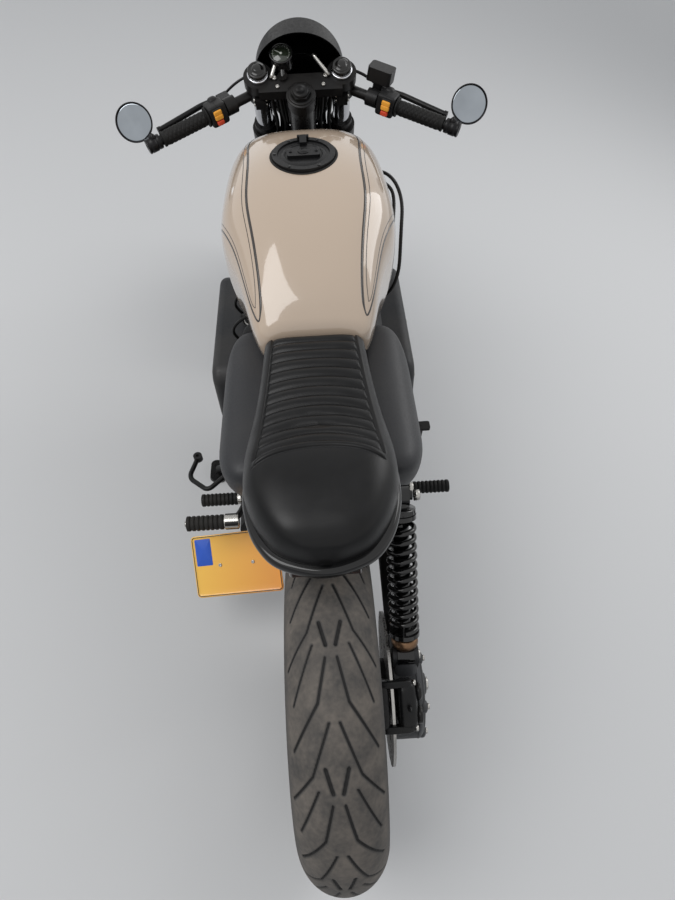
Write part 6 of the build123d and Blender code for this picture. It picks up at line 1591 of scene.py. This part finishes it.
# %% [markdown]
# ## Engine details
#
# Flange screws run round both engine covers, and rubber caps with leads plug into the head. The
# leads go up and in to the frame.
# %% Screws, caps and leads
ENGINE_MIDDLE = np.array([0.8675, 0.445])
CYLINDERS = (0.7205, 0.8185, 0.9165, 1.0145)
PLUG = mm((0.4, 1.2), (18, 1.2), (20, 3), (24, 3), (26, 1), (27, -3), (0.4, -3))
LEAD_CAP = mm((0.4, 0), (13, 0), (14, 3), (11, 6), (11, 20), (9, 24), (4.5, 30), (0.4, 31))
CLIP = mm((20.8, -4), (22.2, -4), (22.2, 4), (20.8, 4))
engine_screws = []
for x, reach, count in ((0.231, (0.172, 0.052), 10), (-0.253, (0.150, 0.052), 8)):
    for k in range(count):
        angle = 2 * math.pi * (k + 0.5) / count
        soft = [math.copysign(abs(f(angle)) ** 0.45, f(angle)) for f in (math.cos, math.sin)]
        at = (x, ENGINE_MIDDLE[0] + reach[0] * soft[0], ENGINE_MIDDLE[1] + reach[1] * soft[1])
        engine_screws.append(screw(at, (math.copysign(1, x), 0, 0), 0.0048, 0.0040))
engine_screws.append(lathe(PLUG, (0.2315, 0.760, 0.470), (1, 0, 0), 48))
piece("engine_screws", engine_screws, "chassis", "screw_steel")
leads, clips = [], []
for y in CYLINDERS:
    path = [(0, 0, 0), (-0.012, -0.004, 0.030), (0.020, -0.010, 0.075), (0.075, -0.014, 0.100)]
    path = np.array([-0.1785, y + 0.028, 0.573]) + path
    leads.append(lathe(LEAD_CAP, (-0.168, y + 0.028, 0.545), (-0.35, 0, 1), 24))
    leads.append(tube(smooth_path(path, 40), 0.0036, 10))
    clips.append(hoop(CLIP, (-0.150, y, 0.572), (0, 0, 1), 40))
    clips.append(screw((-0.150, y - 0.024, 0.572), (-1, 0, 0), 0.003, 0.006))
piece("plug_leads", leads, "chassis", "cable_rubber")
piece("intake_clips", clips, "chassis", "screw_steel")
print("engine screws:", len(engine_screws))

# %% [markdown]
# ## Hoses at the bars
#
# A brake hose, a clutch cable and two switch looms run from the bars to the middle, and more cables
# pass between the yokes. Two bright rods hold the flyscreen. All of them turn with the fork. Each
# hose is a tube along a smooth path through a few places.
# %% Run the hoses
hoses = []
for side, far, back, rise, radius in ((1, 0.072, -0.052, 0.004, 0.0034), (-1, 0.074, -0.052, 0.002, 0.0030),
                                      (1, 0.098, 0.004, -0.016, 0.0030), (-1, 0.098, 0.004, -0.016, 0.0030)):
    path = [on_bar(side, far, back, rise), on_bar(side, far - 0.030, back * 1.15, rise + 0.006),
            on_fork(0.700, 0.105, side * 0.085), on_fork(0.655, 0.098, side * 0.050),
            on_fork(0.612, 0.060, side * 0.044), on_fork(0.590, 0.052, side * 0.030)]
    hoses.append(tube(smooth_path(path, 70), radius, 12))
for side in (-1, 1):
    for out, ahead in ((0.046, 0.030), (0.055, 0.046), (0.066, 0.034), (0.041, 0.050)):
        path = [on_fork(0.716, ahead + 0.020, side * (out + 0.006)), on_fork(0.668, ahead, side * out),
                on_fork(0.620, ahead + 0.004, side * (out - 0.003)), on_fork(0.575, ahead, side * out)]
        hoses.append(tube(smooth_path(path, 40), 0.0048, 14))
piece("bar_hoses", hoses, "steering", "cable_rubber")
stays = []
for side, inner in ((-1, 0.046), (1, 0.032)):
    rod = np.linspace(on_fork(0.753, 0.046, side * 0.066), on_fork(0.772, 0.086, side * inner), 8)
    stays.append(tube(rod, 0.0042, 20))
piece("screen_stays", stays, "steering", "screw_steel")
print("hoses:", len(hoses), "stays:", len(stays))

# %% [markdown]
# ## Headlamp glass
#
# The lamp's glass is a shallow dome with upright flutes that spread the beam. A square grid is
# pressed into a disc, so the flutes follow its columns, and a black rim holds it.
# %% Press the glass and turn its rim
lamp_mesh = bpy.data.objects["headlamp"].data
lamp_points = np.empty(3 * len(lamp_mesh.vertices))
lamp_mesh.vertices.foreach_get("co", lamp_points)
lamp_points = (lamp_points.reshape(-1, 3) - GROUND) @ BASIS.T
LAMP_FACE = np.array([0, lamp_points[:, 1].max(), (lamp_points[:, 2].max() + lamp_points[:, 2].min()) / 2])
GLASS_RADIUS = 0.0665
FLUTES = 11


def lamp_glass():
    """x = R u sqrt(1 - v^2 / 2), z = R v sqrt(1 - u^2 / 2): the dome stands out by 1 - r^2, and the
    flutes are a cosine of u. Two points behind close each row."""
    u, v = np.linspace(-1, 1, 133)[None], np.linspace(-1, 1, 45)[:, None]
    x, z = u * np.sqrt(1 - v**2 / 2), v * np.sqrt(1 - u**2 / 2)
    inside = np.clip(1 - x**2 - z**2, 0, 1)
    out = 0.0010 + 0.0070 * inside + 0.0006 * np.cos(2 * np.pi * FLUTES * u / 2) * inside**0.3
    front = np.stack([GLASS_RADIUS * x, out, GLASS_RADIUS * z], -1)
    behind = front[:, [-1, 0]] * (1, 0, 1) + (0, -0.0015, 0)
    return LAMP_FACE + np.concatenate([front, behind], axis=1)


lamp_tone = plain("lamp_glass", shade(158, 162, 165), 0.12, metallic=0.75, coat=1.0)
tint(lamp_tone, pattern(lamp_tone, scale=30), shade(150, 154, 157), shade(172, 176, 179))
glass = piece("headlamp_glass", [lamp_glass()], "steering", "lamp_glass")
LAMP_RIM = mm((65.5, 0), (66.5, 3), (69, 4.6), (73, 4.6), (75.7, 3), (76, 0), (75.7, -4))
piece("headlamp_rim", [hoop(LAMP_RIM, LAMP_FACE, (0, 1, 0), 96)], "steering", "lamp_shell")
print("headlamp glass points:", len(glass.data.vertices))

# %% [markdown]
# ## Radiator core
#
# Between its tanks a radiator is flat tubes with folded strips of fin between them. One grid makes
# the whole face: the tubes are a high power of a cosine over the height, and the folds are a
# zigzag across the width that is only there between the tubes.
# %% Fold the radiator's core
CORE_WIDTH, CORE_HEIGHT, TUBES, FOLDS = 0.292, 0.146, 15, 110


def radiator_core():
    """Stands out by 1.4 mm x |cos(pi v tubes)|^6, plus up to 1 mm of zigzag over u elsewhere."""
    u, v = np.linspace(0, 1, 2 * FOLDS + 1)[None], np.linspace(0, 1, 6 * TUBES + 1)[:, None]
    bar = np.abs(np.cos(np.pi * TUBES * v)) ** 6
    zigzag = np.abs((u * FOLDS) % 1 - 0.5) * 2
    out = 0.0006 + 0.0014 * bar + 0.0010 * (1 - bar) * zigzag
    x = CORE_WIDTH * (u - 0.5) + 0 * v
    front = x[..., None] * (1, 0, 0) + (CORE_HEIGHT * (v - 0.5) + 0 * u)[..., None] * core_up
    front = front + out[..., None] * core_out
    behind = front[:, [-1, 0]] - 0.004 * core_out
    return core_face + np.concatenate([front, behind], axis=1)


tube_middle = DOWN_TUBE.mean(axis=0) * (0, 1, 1)
core_up = unit((DOWN_TUBE[0] - DOWN_TUBE[1]) * (0, 1, 1))
core_out = np.array([0, core_up[2], -core_up[1]])
CORE_AHEAD, CORE_DROP = 0.062, 0.030
core_face = tube_middle + CORE_AHEAD * core_out - CORE_DROP * core_up
core = piece("radiator_core", [radiator_core()], "chassis", "radiator_black", smooth=False)
print("radiator core faces:", len(core.data.polygons))

# %% [markdown]
# ## The camera
#
# The camera stands behind the machine and looks down along it with a wide lens, so the tail comes
# out large and the bars small. Its place and its two directions are given as for an upright machine.
# %% Place the camera
EYE, LOOK, SIDEWAYS = (0.018, -0.387, 1.593), (0.011, 0.612, -0.791), (0.998, -0.055, -0.028)
LENS, SENSOR_HEIGHT = 25.3, 36
eye = parked(EYE)
look = Vector(np.array(LOOK) @ BASIS)
camera_data = bpy.data.cameras.new("camera")
camera_data.sensor_fit = "VERTICAL"
camera_data.sensor_height = SENSOR_HEIGHT
camera_data.lens = LENS
camera = bpy.data.objects.new("camera", camera_data)
bpy.context.scene.collection.objects.link(camera)
bpy.context.scene.camera = camera
back = -look.normalized()
right = Vector(np.array(SIDEWAYS) @ BASIS)
above = back.cross(right).normalized()
right = above.cross(back).normalized()
turned = Matrix((right, above, back)).transposed().to_4x4()
camera.matrix_world = Matrix.Translation(eye) @ turned
print("camera height:", round(float(eye[2]), 3))

# %% [markdown]
# ## The sky
#
# An even, slightly cool sky fills in the shadows. Rays that come from the camera, off gloss or
# through glass see it as plain white instead, so metal and lacquer mirror a bright studio without
# more light on the machine.
# %% Make the sky
world = bpy.data.worlds.new("sky")
bpy.context.scene.world = world
world.use_nodes = True
nodes, links = world.node_tree.nodes, world.node_tree.links
sky = nodes["Background"]
sky.inputs["Color"].default_value = (0.93, 0.96, 1.0, 1)
sky.inputs["Strength"].default_value = 0.5
seen = nodes.new("ShaderNodeBackground")
seen.inputs["Color"].default_value = (1, 1, 1, 1)
seen.inputs["Strength"].default_value = 1.0
path = nodes.new("ShaderNodeLightPath")
mix = nodes.new("ShaderNodeMixShader")
either = maths(world.node_tree, "MAXIMUM", path.outputs["Is Camera Ray"], path.outputs["Is Glossy Ray"])
any_of = maths(world.node_tree, "MAXIMUM", either, path.outputs["Is Transmission Ray"])
links.new(any_of, mix.inputs["Fac"])
links.new(sky.outputs["Background"], mix.inputs[1])
links.new(seen.outputs["Background"], mix.inputs[2])
links.new(mix.outputs["Shader"], nodes["World Output"].inputs["Surface"])
print("sky nodes:", len(nodes))

# %% [markdown]
# ## Floor and lamps
#
# A wide pale floor takes the shadow. Two large soft lamps stand on either side, the stronger one
# at the left of the machine's tail, and give the paint and the lacquer their long highlights.
# %% Lay the floor and hang the lamps
FLOOR = np.array([(-30, -30, 0), (30, -30, 0), (30, 30, 0), (-30, 30, 0)])
floor_mesh = bpy.data.meshes.new("floor")
floor_mesh.from_pydata(FLOOR.tolist(), [], [(0, 1, 2, 3)])
floor = bpy.data.objects.new("floor", floor_mesh)
bpy.context.scene.collection.objects.link(floor)
floor_finish = plain("floor", shade(206, 206, 206), 0.7)
floor_mesh.materials.append(floor_finish)
floor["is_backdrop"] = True


def lamp(name, place, aim, size, power):
    """A square soft lamp at a place, turned to aim."""
    data = bpy.data.lights.new(name, "AREA")
    data.shape = "SQUARE"
    data.size = size
    data.energy = power
    made = bpy.data.objects.new(name, data)
    bpy.context.scene.collection.objects.link(made)
    away = (Vector(place) - Vector(aim)).normalized()
    made.rotation_euler = away.to_track_quat("Z", "Y").to_euler()
    made.location = place


lamp("key", (-2.6, -1.2, 3.6), (0, 0, 0.6), 2.6, 95)
lamp("fill", (2.8, 1.6, 3.2), (0, 0, 0.6), 2.2, 50)
bpy.context.scene.view_settings.view_transform = "Standard"
print("lamps:", len(bpy.data.lights))

# %% [markdown]
# ## The size
#
# The dressed machine's box is measured, and its size is printed.
# %% Measure and finish
low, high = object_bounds()
print("size of the dressed model:", [round(b - a, 4) for a, b in zip(low, high)])
